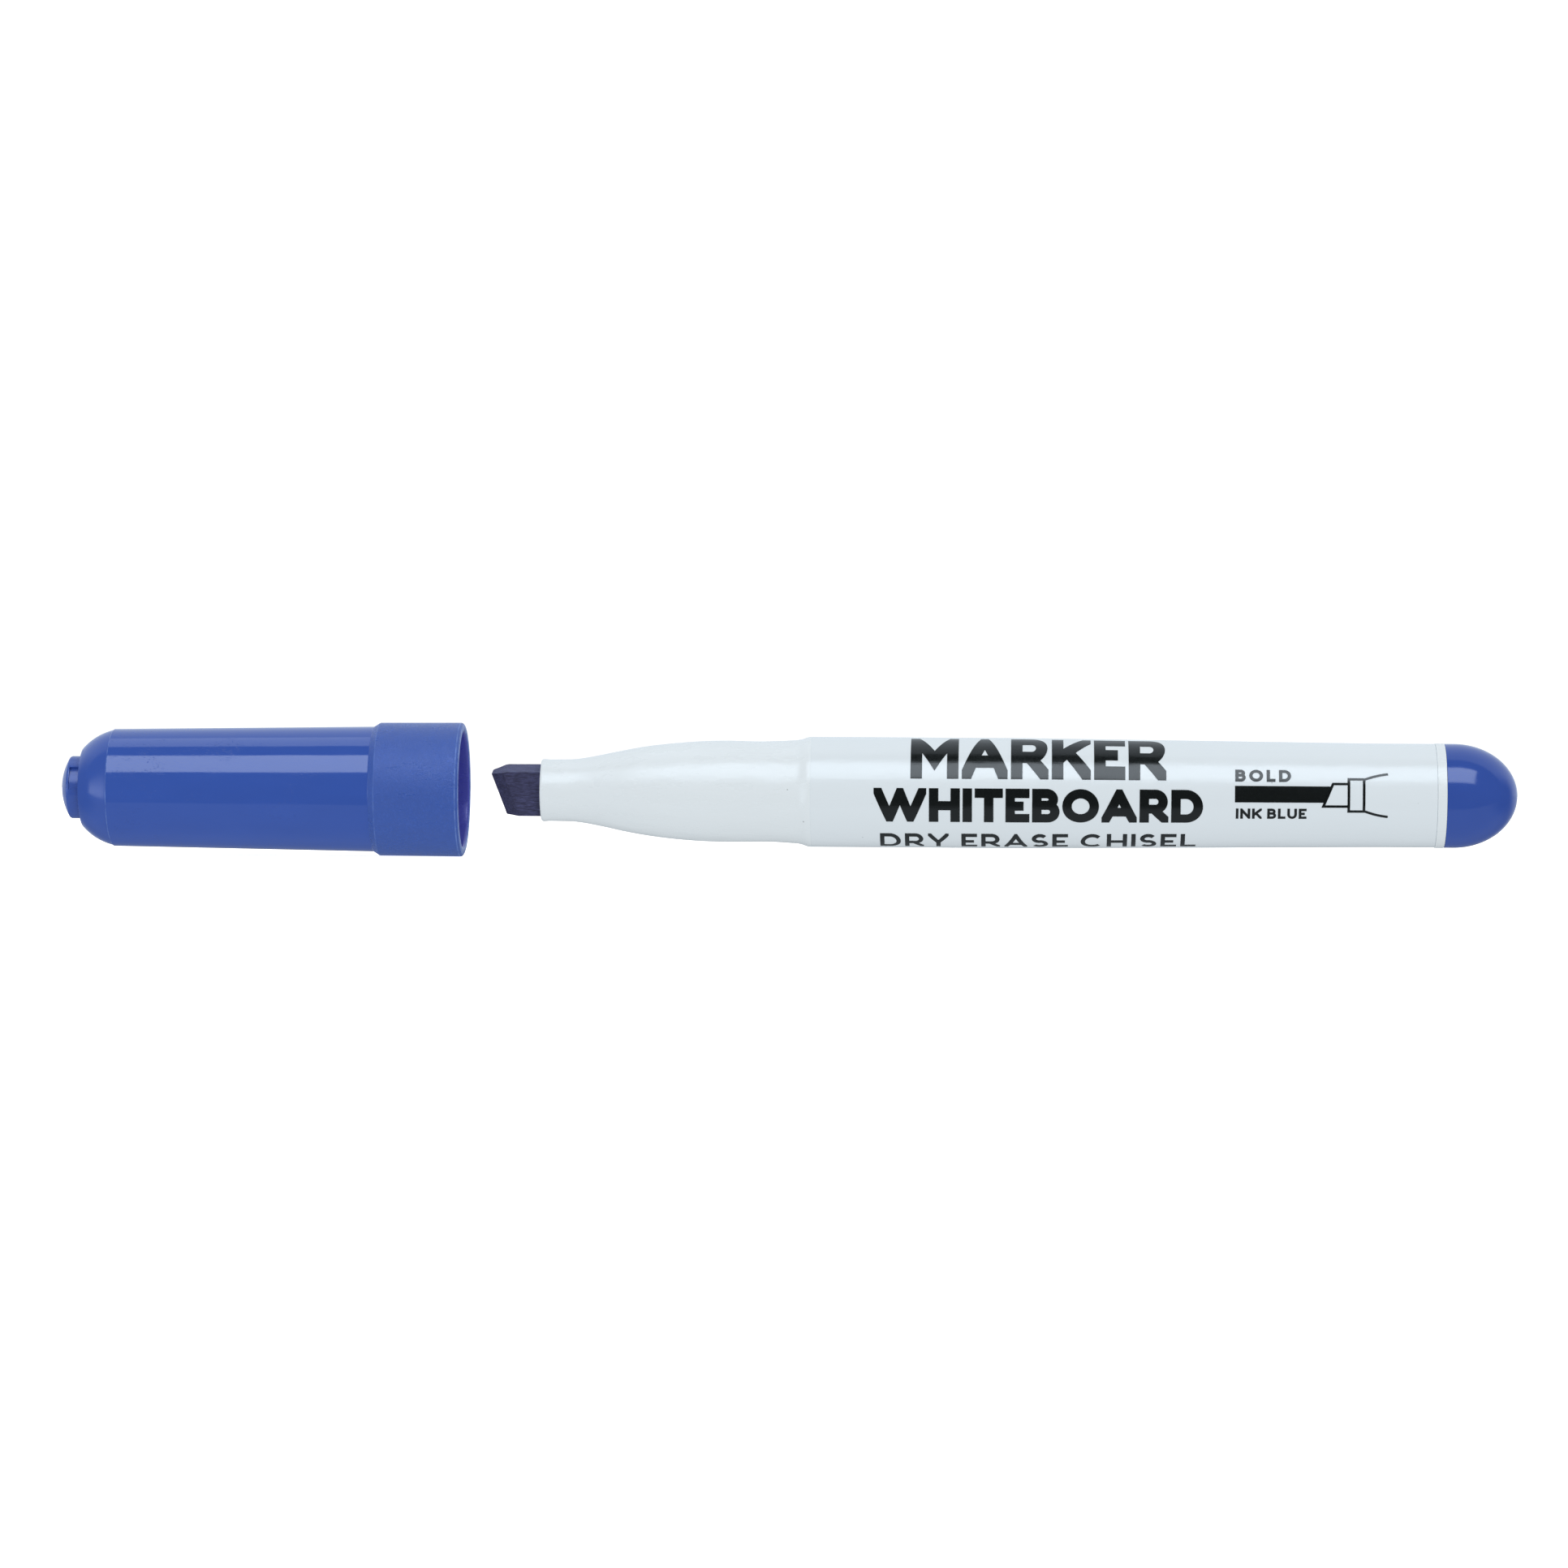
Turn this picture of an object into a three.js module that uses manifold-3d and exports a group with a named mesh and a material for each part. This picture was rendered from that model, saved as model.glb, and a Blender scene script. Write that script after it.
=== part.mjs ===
// A chisel-tip whiteboard marker lying along X with its cap pulled off: the cap's nose
// points to -X, the domed end plug to +X, +Z is up. Units are millimetres. The origin is
// below the middle of the whole length, at the height of the cap collar's lowest line.

import * as THREE from 'three';
import { mergeVertices } from 'three/addons/utils/BufferGeometryUtils.js';
import Module from 'manifold-3d';

const wasm = await Module();
wasm.setup();

// ---- lengths along the marker ----
const CAP_LENGTH = 52.45; // mouth to the tip of the nose
const CAP_GAP = 3.7; // cap mouth to nib tip
const NIB_REACH = 6.4; // nib tip to the front of the neck
const BARREL_LENGTH = 116.4;
const PLUG_REACH = 9.45; // how far the plug's dome stands out of the barrel
const TOTAL_LENGTH = CAP_LENGTH + CAP_GAP + NIB_REACH + BARREL_LENGTH + PLUG_REACH;

// ---- cap ----
const COLLAR_RADIUS = 8.68;
const COLLAR_LENGTH = 10.9;
const COLLAR_BACK_RADIUS = 8.62;
const COLLAR_BEVEL = 0.8;
const LIP_LENGTH = 0.38; // the mouth's lip slopes away on both sides of a narrow flat rim
const LIP_RIM_INNER = 7.85;
const LIP_RIM_OUTER = 8.1;
const SLEEVE_FRONT_RADIUS = 8.12; // where the sleeve meets the collar
const SLEEVE_BACK_RADIUS = 7.62; // where the sleeve meets the crown
const SLEEVE_END = 45.65; // depth of that edge behind the mouth
const CROWN_DEPTH = 49.65; // depth of the crown's cut-off end
const CROWN_EDGE_RADIUS = 7.54;
const CROWN_RIM_RADIUS = 5.15;
const CROWN_HOLE_RADIUS = 4.92;
const MOUTH_RADIUS = 7.4;
const SNAP_RING_RADIUS = 7.24;
const SNAP_RING_DEPTH = 1.8; // the snap ring's front foot, behind the mouth
const SNAP_RING_RAMP = 0.3;
const SNAP_RING_CREST = 0.4; // length of its crest
const MOUTH_BORE_END = 10.3;
const MOUTH_BORE_DRAFT = 0.02; // the mouth's bore narrows by this much towards its end
const SLEEVE_BORE_START = 11.5;
const SLEEVE_BORE_RADIUS = 6.98;
const SLEEVE_BORE_END = 44.05;
const CROWN_BORE_RADIUS = 6.5;
const CROWN_RIM_WALL = 0.9; // length of the straight wall round the crown's opening
const CROWN_BULGE = 1.6; // the crown's curve is pulled to this distance and radius
const CROWN_BULGE_RADIUS = 6.95;
const CROWN_BORE_BULGE_DEPTH = 46.85; // and its bore's curve to these
const CROWN_BORE_BULGE_RADIUS = 6.25;

// ---- liner inside the cap ----
const LINER_MOUTH_DEPTH = 34.4;
const LINER_BORE_DEPTH = 46.2;
const LINER_RADIUS = 4.8;
const LINER_BORE_RADIUS = 4.12;
const LINER_MOUTH_RADIUS = 4.48; // the bore flares to this at its mouth
const LINER_FLARE = 0.6;
const LINER_NECKING = 1.2; // the bore narrows into the nose over this length
const LINER_STEP = 0.3; // length of the slope from the liner up to the nose
const LINER_STEP_DEPTH = 49.15; // its wide end, behind the mouth
const NOSE_RADIUS = 4.05;
const NOSE_EDGE_RADIUS = 3.95;
const NOSE_EDGE_LENGTH = 0.25;
const NOSE_DOME_LENGTH = 1.1;
const NOSE_DOME_BULGE = 2.1; // radius that the dome's curve is pulled to
const NOSE_BORE_RADIUS = 2.5;
const NOSE_BORE_FLARE = 0.1;
const NOSE_BORE_ROUNDING = 0.8;
const NOSE_BORE_BULGE = 2;
const NOSE_WALL = 1.3;
const CUT_DEPTH = 1; // how far a cutting tool reaches past the surface that it cuts
const FIN_COUNT = 6; // fins that centre the liner in the shell
const FIN_THICKNESS = 0.9;
const FIN_OUTER_RADIUS = 6.35;
const FIN_ROOT_RADIUS = 4.52; // the fins start inside the liner's wall
const FIN_FRONT_DEPTH = 38.4;
const FIN_BACK_DEPTH = 44.8;
const VENT_COUNT = 2; // air passages in the side of the nose
const FIRST_VENT_ANGLE = 18; // degrees above the -Y direction
const VENT_WIDTH = 3;
const VENT_LENGTH = 1.6;
const VENT_FRONT_DEPTH = 51;
const VENT_FLOOR_RADIUS = 3.55;

// ---- barrel ----
const NECK_RADIUS = 4.04;
const NECK_FACE_RADIUS = 3.66;
const NECK_BEVEL_AT = 0.15; // stations along the rounded front end of the neck
const NECK_BEVEL_RADIUS = 3.91;
const NECK_BEAD_AT = 0.5;
const NECK_BEAD_RADIUS = 4.06;
const NECK_BEAD_END = 0.9;
const NECK_BEAD_END_RADIUS = 4.01;
const NECK_LENGTH = 3.8;
const NECK_FLARE_AT = 8.2; // the grip's curve leaves the neck towards this point
const NECK_FLARE_RADIUS = 4.3;
const GRIP_CREST_AT = 12.3; // and arrives from this one
const GRIP_CREST_RADIUS = 6.45;
const GRIP_RADIUS = 6.57;
const GRIP_START = 24; // where the neck's curve has reached the grip's full radius
const GRIP_WAIST_AT = 28.2;
const GRIP_WAIST_RADIUS = 6.51;
const SHOULDER_START = 33;
const SHOULDER_END = 34.95;
const SHOULDER_START_RADIUS = 6.66;
const SHOULDER_RADIUS = 7.14;
const TAPER_START = 62.2;
const TAPER_END = 108.2;
const REAR_RADIUS = 6.69;
const REAR_LIP_RADIUS = 6.74;
const REAR_LIP_LENGTH = 1.1;
const BARREL_BORE_RADIUS = 5.62;
const BORE_STOP = 27; // front end of the ink chamber
const BORE_STOP_BEVEL = 0.6;
const BORE_STOP_RADIUS = 5.32;
const GRIP_BORE_AT = 20; // the bore narrows from here to the nib's guide
const GRIP_BORE_RADIUS = 5;
const GUIDE_BORE_RADIUS = 4;
const GUIDE_FLARE = 2.5;
const NIB_GUIDE_LENGTH = 8.5;
const NECK_CORE_RADIUS = 2; // the turned hole that the nib's slot then widens

// ---- printed film wrapped round the barrel ----
const FILM_THICKNESS = 0.08;
const FILM_GAP = 0.03;
const FILM_START = 35.05;
const FILM_END = 115.2;

// ---- nib ----
const NIB_HEIGHT = 5.9;
const NIB_THICKNESS = 4.4;
const NIB_LENGTH = 38;
const NIB_CORNER = 0.5;
const NIB_ROLL = THREE.MathUtils.degToRad(14.5);
const CHISEL_SETBACK = 1.9; // how far the heel lies behind the tip
const TIP_HEIGHT = 2.4; // of the tip above the nib's axis
const TIP_SLOPE_LENGTH = 2; // the nib's top edge slopes down to the tip over this length
const CHISEL_EDGE = 2.1; // thickness left at the writing edge
const CHISEL_BEVEL = 1.66; // length of each bevel, square to the writing edge
const SLOT_CLEARANCE = 0.08;
const OVERCUT = 0.05; // keeps the chisel's cutting tools off the bar's own faces

// ---- ink reservoir ----
const CORE_RADIUS = 5.25;
const CORE_START = 27.1;
const CORE_END = 110.4;
const CORE_POCKET_DEPTH = 4.8;
const CORE_POCKET_CLEARANCE = 0.3;
const SHEATH_INNER_RADIUS = 5.3;
const SHEATH_OUTER_RADIUS = 5.4;

// ---- end plug ----
const SPIGOT_LENGTH = 5.5;
const SPIGOT_RADIUS = 5.54;
const SPIGOT_TIP_RADIUS = 5.3;
const SPIGOT_LEAD_IN = 0.5;
const SPIGOT_BORE_RADIUS = 4.6;
const PLUG_RADIUS = 6.7;
const PLUG_EDGE = 0.08;
const PLUG_SEAM_GAP = 0.08;
const PLUG_DOME_LENGTH = 8.2;
const PLUG_WALL = 1.3;

const SEGMENTS = 48; // facets round every turned piece, one of which faces straight down
const HALF_FACET = Math.PI / SEGMENTS;
const CURVE_STEPS = 10; // steps along each curved stretch of a profile

// A turned piece: outline(path) draws the half section in (x, radius) from -X to +X along
// the outside and back along the inside, on the axis at both ends or closed on itself.
// The middles of the facets lie at the radius given, and their edges a little outside it.
function turned(outline, steps = CURVE_STEPS) {
  const path = new THREE.Path();
  outline(path);
  const widening = 1 / Math.cos(HALF_FACET);
  const profile = path
    .getPoints(steps)
    .map((p) => new THREE.Vector2(Math.max(p.y, 0) * widening, p.x));
  return new THREE.LatheGeometry(profile, SEGMENTS, HALF_FACET).rotateZ(-Math.PI / 2);
}

// A bar along +X with a rounded rectangular section, height along Z and width along Y.
function bar(length, height, width, corner) {
  const [h, w] = [height / 2 - corner, width / 2 - corner];
  const section = new THREE.Shape();
  section.absarc(h, w, corner, 0, Math.PI / 2);
  section.absarc(-h, w, corner, Math.PI / 2, Math.PI);
  section.absarc(-h, -w, corner, Math.PI, 1.5 * Math.PI);
  section.absarc(h, -w, corner, 1.5 * Math.PI, 2 * Math.PI);
  const options = { depth: length, bevelEnabled: false, curveSegments: 2 };
  return new THREE.ExtrudeGeometry(section, options).rotateY(Math.PI / 2);
}

// The manifold solid of a closed geometry, without the zero-area triangles at a lathe's poles.
function solidOf(geometry) {
  const bare = geometry.clone();
  bare.deleteAttribute('normal');
  bare.deleteAttribute('uv');
  const merged = mergeVertices(bare);
  const index = merged.index.array;
  const corners = [];
  for (let i = 0; i < index.length; i += 3) {
    const [a, b, c] = index.subarray(i, i + 3);
    if (a !== b && b !== c && c !== a) corners.push(a, b, c);
  }
  const vertProperties = new Float32Array(merged.attributes.position.array);
  const triVerts = new Uint32Array(corners);
  return new wasm.Manifold(new wasm.Mesh({ numProp: 3, vertProperties, triVerts }));
}

function geometryOf(solid) {
  const { vertProperties, triVerts } = solid.getMesh();
  const geometry = new THREE.BufferGeometry();
  geometry.setAttribute('position', new THREE.BufferAttribute(vertProperties, 3));
  geometry.setIndex(new THREE.BufferAttribute(triVerts, 1));
  geometry.computeVertexNormals();
  return geometry;
}

function part(name, geometry, color, roughness) {
  const material = new THREE.MeshStandardMaterial({ color, roughness, metalness: 0 });
  const mesh = new THREE.Mesh(geometry, material);
  mesh.name = name;
  return mesh;
}

// ---- cap pieces: x = 0 is the mouth plane, and the cap lies on the -X side ----

function capShell() {
  const crownEnd = -CROWN_DEPTH;
  const openingEnd = CROWN_RIM_WALL - CROWN_DEPTH;
  const ringStart = -SNAP_RING_DEPTH;
  const ringCrest = ringStart - SNAP_RING_RAMP;
  return turned((p) => {
    p.moveTo(openingEnd, CROWN_HOLE_RADIUS);
    p.lineTo(crownEnd, CROWN_HOLE_RADIUS);
    p.lineTo(crownEnd, CROWN_RIM_RADIUS);
    p.quadraticCurveTo(crownEnd + CROWN_BULGE, CROWN_BULGE_RADIUS, -SLEEVE_END, CROWN_EDGE_RADIUS);
    p.lineTo(-SLEEVE_END, SLEEVE_BACK_RADIUS);
    p.lineTo(-COLLAR_LENGTH - COLLAR_BEVEL, SLEEVE_FRONT_RADIUS);
    p.lineTo(-COLLAR_LENGTH, COLLAR_BACK_RADIUS);
    p.lineTo(-LIP_LENGTH, COLLAR_RADIUS);
    p.lineTo(0, LIP_RIM_OUTER);
    p.lineTo(0, LIP_RIM_INNER);
    p.lineTo(-LIP_LENGTH, MOUTH_RADIUS);
    p.lineTo(ringStart, MOUTH_RADIUS);
    p.lineTo(ringCrest, SNAP_RING_RADIUS);
    p.lineTo(ringCrest - SNAP_RING_CREST, SNAP_RING_RADIUS);
    p.lineTo(ringCrest - SNAP_RING_CREST - SNAP_RING_RAMP, MOUTH_RADIUS);
    p.lineTo(-MOUTH_BORE_END, MOUTH_RADIUS - MOUTH_BORE_DRAFT);
    p.lineTo(-SLEEVE_BORE_START, SLEEVE_BORE_RADIUS);
    p.lineTo(-SLEEVE_BORE_END, CROWN_BORE_RADIUS);
    const [bulgeAt, bulge] = [-CROWN_BORE_BULGE_DEPTH, CROWN_BORE_BULGE_RADIUS];
    p.quadraticCurveTo(bulgeAt, bulge, openingEnd, CROWN_HOLE_RADIUS);
  });
}

function innerCap() {
  const noseEnd = -CAP_LENGTH;
  const noseEdge = noseEnd + NOSE_DOME_LENGTH;
  const noseBoreEnd = noseEnd + NOSE_WALL;
  let solid = solidOf(
    turned((p) => {
      p.moveTo(noseEnd, 0);
      p.quadraticCurveTo(noseEnd, NOSE_DOME_BULGE, noseEdge, NOSE_EDGE_RADIUS);
      p.lineTo(noseEdge + NOSE_EDGE_LENGTH, NOSE_RADIUS);
      p.lineTo(-LINER_STEP_DEPTH - LINER_STEP, NOSE_RADIUS);
      p.lineTo(-LINER_STEP_DEPTH, LINER_RADIUS);
      p.lineTo(-LINER_MOUTH_DEPTH, LINER_RADIUS);
      p.lineTo(-LINER_MOUTH_DEPTH, LINER_MOUTH_RADIUS);
      p.lineTo(-LINER_MOUTH_DEPTH - LINER_FLARE, LINER_BORE_RADIUS);
      p.lineTo(-LINER_BORE_DEPTH, LINER_BORE_RADIUS);
      p.lineTo(-LINER_BORE_DEPTH - LINER_NECKING, NOSE_BORE_RADIUS + NOSE_BORE_FLARE);
      p.lineTo(noseBoreEnd + NOSE_BORE_ROUNDING, NOSE_BORE_RADIUS);
      p.quadraticCurveTo(noseBoreEnd, NOSE_BORE_BULGE, noseBoreEnd, 0);
    }),
  );
  const finHeight = FIN_OUTER_RADIUS - FIN_ROOT_RADIUS;
  const finLength = FIN_BACK_DEPTH - FIN_FRONT_DEPTH;
  const fin = new THREE.BoxGeometry(finLength, finHeight, FIN_THICKNESS);
  fin.translate(-(FIN_FRONT_DEPTH + FIN_BACK_DEPTH) / 2, finHeight / 2 - FIN_OUTER_RADIUS, 0);
  for (let i = 0; i < FIN_COUNT; i++) {
    const angle = (2 * Math.PI * i) / FIN_COUNT;
    solid = solid.add(solidOf(fin.clone().rotateX(angle)));
  }
  const vent = new THREE.BoxGeometry(VENT_LENGTH, CUT_DEPTH, VENT_WIDTH);
  vent.translate(VENT_LENGTH / 2 - VENT_FRONT_DEPTH, -VENT_FLOOR_RADIUS - CUT_DEPTH / 2, 0);
  for (let i = 0; i < VENT_COUNT; i++) {
    const degrees = FIRST_VENT_ANGLE + (360 / VENT_COUNT) * i;
    const angle = -THREE.MathUtils.degToRad(degrees);
    solid = solid.subtract(solidOf(vent.clone().rotateX(angle)));
  }
  return geometryOf(solid);
}

// ---- body pieces: x = 0 is the front of the neck, and the body lies on the +X side ----

// The film's outer radius at its four stations, which the barrel below it follows.
function wrapStations(offset) {
  return [
    [FILM_START, SHOULDER_RADIUS - offset],
    [TAPER_START, SHOULDER_RADIUS - offset],
    [TAPER_END, REAR_RADIUS - offset],
    [FILM_END, REAR_RADIUS - offset],
  ];
}

function barrel() {
  const turnedBody = turned((p) => {
    p.moveTo(0, NECK_CORE_RADIUS);
    p.lineTo(0, NECK_FACE_RADIUS);
    p.lineTo(NECK_BEVEL_AT, NECK_BEVEL_RADIUS);
    p.lineTo(NECK_BEAD_AT, NECK_BEAD_RADIUS);
    p.lineTo(NECK_BEAD_END, NECK_BEAD_END_RADIUS);
    p.lineTo(NECK_LENGTH, NECK_RADIUS);
    const [flare, crest] = [[NECK_FLARE_AT, NECK_FLARE_RADIUS], [GRIP_CREST_AT, GRIP_CREST_RADIUS]];
    p.bezierCurveTo(...flare, ...crest, GRIP_START, GRIP_RADIUS);
    p.lineTo(GRIP_WAIST_AT, GRIP_WAIST_RADIUS);
    p.lineTo(SHOULDER_START, SHOULDER_START_RADIUS);
    p.lineTo(SHOULDER_END, SHOULDER_RADIUS);
    for (const [x, radius] of wrapStations(FILM_THICKNESS + FILM_GAP)) p.lineTo(x, radius);
    p.lineTo(BARREL_LENGTH - REAR_LIP_LENGTH, REAR_LIP_RADIUS);
    p.lineTo(BARREL_LENGTH, REAR_LIP_RADIUS);
    p.lineTo(BARREL_LENGTH, BARREL_BORE_RADIUS);
    p.lineTo(BORE_STOP, BARREL_BORE_RADIUS);
    p.lineTo(BORE_STOP - BORE_STOP_BEVEL, BORE_STOP_RADIUS);
    p.lineTo(GRIP_BORE_AT, GRIP_BORE_RADIUS);
    p.lineTo(NIB_GUIDE_LENGTH + GUIDE_FLARE, GUIDE_BORE_RADIUS);
    p.lineTo(NIB_GUIDE_LENGTH, NECK_CORE_RADIUS);
    p.lineTo(0, NECK_CORE_RADIUS);
  });
  const slotHeight = NIB_HEIGHT + 2 * SLOT_CLEARANCE;
  const slotWidth = NIB_THICKNESS + 2 * SLOT_CLEARANCE;
  const slotLength = NIB_GUIDE_LENGTH + GUIDE_FLARE + 2 * CUT_DEPTH;
  const slot = bar(slotLength, slotHeight, slotWidth, NIB_CORNER + SLOT_CLEARANCE);
  slot.rotateX(NIB_ROLL).translate(-CUT_DEPTH, 0, 0);
  return geometryOf(solidOf(turnedBody).subtract(solidOf(slot)));
}

function labelFilm() {
  return turned((p) => {
    const outside = wrapStations(0);
    const inside = wrapStations(FILM_THICKNESS).reverse();
    p.moveTo(...outside[0]);
    for (const station of [...outside.slice(1), ...inside, outside[0]]) p.lineTo(...station);
  });
}

// The nib lies along +X from its tip: a bar met by a wedge whose front edge is slanted, and
// by an outline that lowers its top edge towards the tip.
function nib() {
  const slant = Math.atan(CHISEL_SETBACK / (TIP_HEIGHT + NIB_HEIGHT / 2));
  const halfWidth = NIB_THICKNESS / 2 + OVERCUT;
  const wedge = new THREE.Shape();
  wedge.moveTo(0, -CHISEL_EDGE / 2);
  wedge.lineTo(CHISEL_BEVEL, -halfWidth);
  wedge.lineTo(2 * NIB_LENGTH, -halfWidth);
  wedge.lineTo(2 * NIB_LENGTH, halfWidth);
  wedge.lineTo(CHISEL_BEVEL, halfWidth);
  wedge.lineTo(0, CHISEL_EDGE / 2);
  const span = 2 * NIB_LENGTH; // long enough to reach past the slanted edge at both ends
  const blade = new THREE.ExtrudeGeometry(wedge, { depth: span, bevelEnabled: false });
  blade.translate(0, 0, -span / 2).rotateY(-slant).translate(0, 0, TIP_HEIGHT);
  const side = new THREE.Shape();
  side.moveTo(0, TIP_HEIGHT);
  side.lineTo(0, -NIB_HEIGHT);
  side.lineTo(2 * NIB_LENGTH, -NIB_HEIGHT);
  side.lineTo(2 * NIB_LENGTH, NIB_HEIGHT / 2 + OVERCUT);
  side.lineTo(TIP_SLOPE_LENGTH, NIB_HEIGHT / 2 + OVERCUT);
  const outline = new THREE.ExtrudeGeometry(side, { depth: 2 * NIB_HEIGHT, bevelEnabled: false });
  outline.translate(0, 0, -NIB_HEIGHT).rotateX(Math.PI / 2);
  const block = bar(NIB_LENGTH, NIB_HEIGHT, NIB_THICKNESS, NIB_CORNER);
  return geometryOf(solidOf(block).intersect(solidOf(blade)).intersect(solidOf(outline)));
}

function reservoirCore() {
  const bundle = turned((p) => {
    p.moveTo(CORE_START, 0);
    p.lineTo(CORE_START, CORE_RADIUS);
    p.lineTo(CORE_END, CORE_RADIUS);
    p.lineTo(CORE_END, 0);
  });
  const pocketHeight = NIB_HEIGHT + 2 * CORE_POCKET_CLEARANCE;
  const pocketWidth = NIB_THICKNESS + 2 * CORE_POCKET_CLEARANCE;
  const pocket = bar(CORE_POCKET_DEPTH + CUT_DEPTH, pocketHeight, pocketWidth, NIB_CORNER);
  pocket.rotateX(NIB_ROLL).translate(CORE_START - CUT_DEPTH, 0, 0);
  return geometryOf(solidOf(bundle).subtract(solidOf(pocket)));
}

function reservoirSheath() {
  return turned((p) => {
    p.moveTo(CORE_START, SHEATH_OUTER_RADIUS);
    p.lineTo(CORE_END, SHEATH_OUTER_RADIUS);
    p.lineTo(CORE_END, SHEATH_INNER_RADIUS);
    p.lineTo(CORE_START, SHEATH_INNER_RADIUS);
    p.lineTo(CORE_START, SHEATH_OUTER_RADIUS);
  });
}

function endPlug() {
  const seam = BARREL_LENGTH + PLUG_SEAM_GAP;
  const spigotEnd = BARREL_LENGTH - SPIGOT_LENGTH;
  const domeCentre = BARREL_LENGTH + PLUG_REACH - PLUG_DOME_LENGTH;
  const quarter = Math.PI / 2;
  return turned((p) => {
    p.moveTo(domeCentre + PLUG_DOME_LENGTH - PLUG_WALL, 0);
    const innerLength = PLUG_DOME_LENGTH - PLUG_WALL;
    p.absellipse(domeCentre, 0, innerLength, SPIGOT_BORE_RADIUS, 0, quarter, false);
    p.lineTo(spigotEnd, SPIGOT_BORE_RADIUS);
    p.lineTo(spigotEnd, SPIGOT_TIP_RADIUS);
    p.lineTo(spigotEnd + SPIGOT_LEAD_IN, SPIGOT_RADIUS);
    p.lineTo(seam, SPIGOT_RADIUS);
    p.lineTo(seam, PLUG_RADIUS - PLUG_EDGE);
    p.lineTo(seam + PLUG_EDGE, PLUG_RADIUS);
    p.absellipse(domeCentre, 0, PLUG_DOME_LENGTH, PLUG_RADIUS, quarter, 0, true);
  }, CURVE_STEPS / 2);
}

// ---- the marker ----

const BLUE = 0x3a57a6;
const WHITE = 0xe2eaf0;
const INK = 0x3e415e;
const CLEAR_FILM = 0xdfe3ea;

const cap = new THREE.Group();
cap.add(part('cap_shell', capShell(), BLUE, 0.3));
cap.add(part('inner_cap', innerCap(), BLUE, 0.4));
cap.position.x = CAP_LENGTH - TOTAL_LENGTH / 2;

const body = new THREE.Group();
body.add(part('barrel', barrel(), WHITE, 0.35));
body.add(part('label_film', labelFilm(), WHITE, 0.25));
const nibMesh = part('nib', nib(), INK, 0.9);
nibMesh.position.x = -NIB_REACH;
nibMesh.rotation.x = NIB_ROLL;
body.add(nibMesh);
body.add(part('reservoir_core', reservoirCore(), INK, 0.95));
body.add(part('reservoir_sheath', reservoirSheath(), CLEAR_FILM, 0.3));
body.add(part('end_plug', endPlug(), BLUE, 0.25));
body.position.x = TOTAL_LENGTH / 2 - PLUG_REACH - BARREL_LENGTH;

const marker = new THREE.Group();
marker.add(cap, body);
marker.position.z = COLLAR_RADIUS;

export default marker;
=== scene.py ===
# A whiteboard marker with its cap pulled off, lying along X. Lengths in this script are in
# millimetres until a mesh is made, and in metres from then on.
import math
import bmesh
import bpy
from mathutils import Matrix, Vector, geometry, noise


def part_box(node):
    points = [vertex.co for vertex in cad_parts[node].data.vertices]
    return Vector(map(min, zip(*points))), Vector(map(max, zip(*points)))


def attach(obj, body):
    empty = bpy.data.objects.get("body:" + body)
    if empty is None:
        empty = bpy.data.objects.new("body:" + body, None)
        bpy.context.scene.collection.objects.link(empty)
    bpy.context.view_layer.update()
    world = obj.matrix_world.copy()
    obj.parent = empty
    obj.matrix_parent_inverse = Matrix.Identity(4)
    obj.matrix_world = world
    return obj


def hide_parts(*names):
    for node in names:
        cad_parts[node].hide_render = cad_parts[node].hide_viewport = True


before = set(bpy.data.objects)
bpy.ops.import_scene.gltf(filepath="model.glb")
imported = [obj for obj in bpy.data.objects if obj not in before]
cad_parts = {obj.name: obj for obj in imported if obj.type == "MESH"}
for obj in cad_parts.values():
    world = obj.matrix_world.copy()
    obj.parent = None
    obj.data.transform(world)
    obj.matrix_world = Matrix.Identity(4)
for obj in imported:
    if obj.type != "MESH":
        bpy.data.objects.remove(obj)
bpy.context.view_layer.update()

MM = 0.001
SIDES = 160  # facets round the turned pieces
SHARP = math.radians(32)  # edges that turn by more are shaded sharp
ON_AXIS = 1e-6  # a smaller profile radius is a point on the axis
MERGE_DISTANCE = 1e-7  # metres
WAVES_ROUND = 3  # radius in the noise at which it is read round the axis


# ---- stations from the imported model, in millimetres ----
def span(node):
    low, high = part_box(node)
    return [v / MM for v in low], [v / MM for v in high]


CAP_BOX, LINER_BOX = span("cap_shell"), span("inner_cap")
BARREL_BOX, FILM_BOX = span("barrel"), span("label_film")
PLUG_BOX, NIB_BOX = span("end_plug"), span("nib")
AXIS_Z = (CAP_BOX[0][2] + CAP_BOX[1][2]) / 2
MOUTH_X = CAP_BOX[1][0]
NECK_X = BARREL_BOX[0][0]
SEAM_X = BARREL_BOX[1][0] - NECK_X  # the barrel's rear end, from the neck
CROWN_END = CAP_BOX[0][0] - MOUTH_X
NOSE_END = LINER_BOX[0][0] - MOUTH_X
NIB_TIP = NIB_BOX[0][0]
FILM_START, FILM_END = FILM_BOX[0][0] - NECK_X, FILM_BOX[1][0] - NECK_X
COLLAR_RADIUS = (CAP_BOX[1][2] - CAP_BOX[0][2]) / 2
FILM_RADIUS = (FILM_BOX[1][2] - FILM_BOX[0][2]) / 2
PLUG_RADIUS = (PLUG_BOX[1][2] - PLUG_BOX[0][2]) / 2
PLUG_REACH = PLUG_BOX[1][0] - NECK_X - SEAM_X
SLEEVE_END, COLLAR_BACK = -45.65, -10.9  # rear edges of the cap's sleeve and collar, from its mouth

# ---- profiles ----
FLAT_TURN = 0.02  # a corner that turns by less, in radians, gets no fillet
FILLET_SHARE = 0.45  # the most of each side that a fillet may take
SUPPORT_REACH, SUPPORT_SHARE = 1.4, 0.49  # how far past the fillet its support points lie


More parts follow.
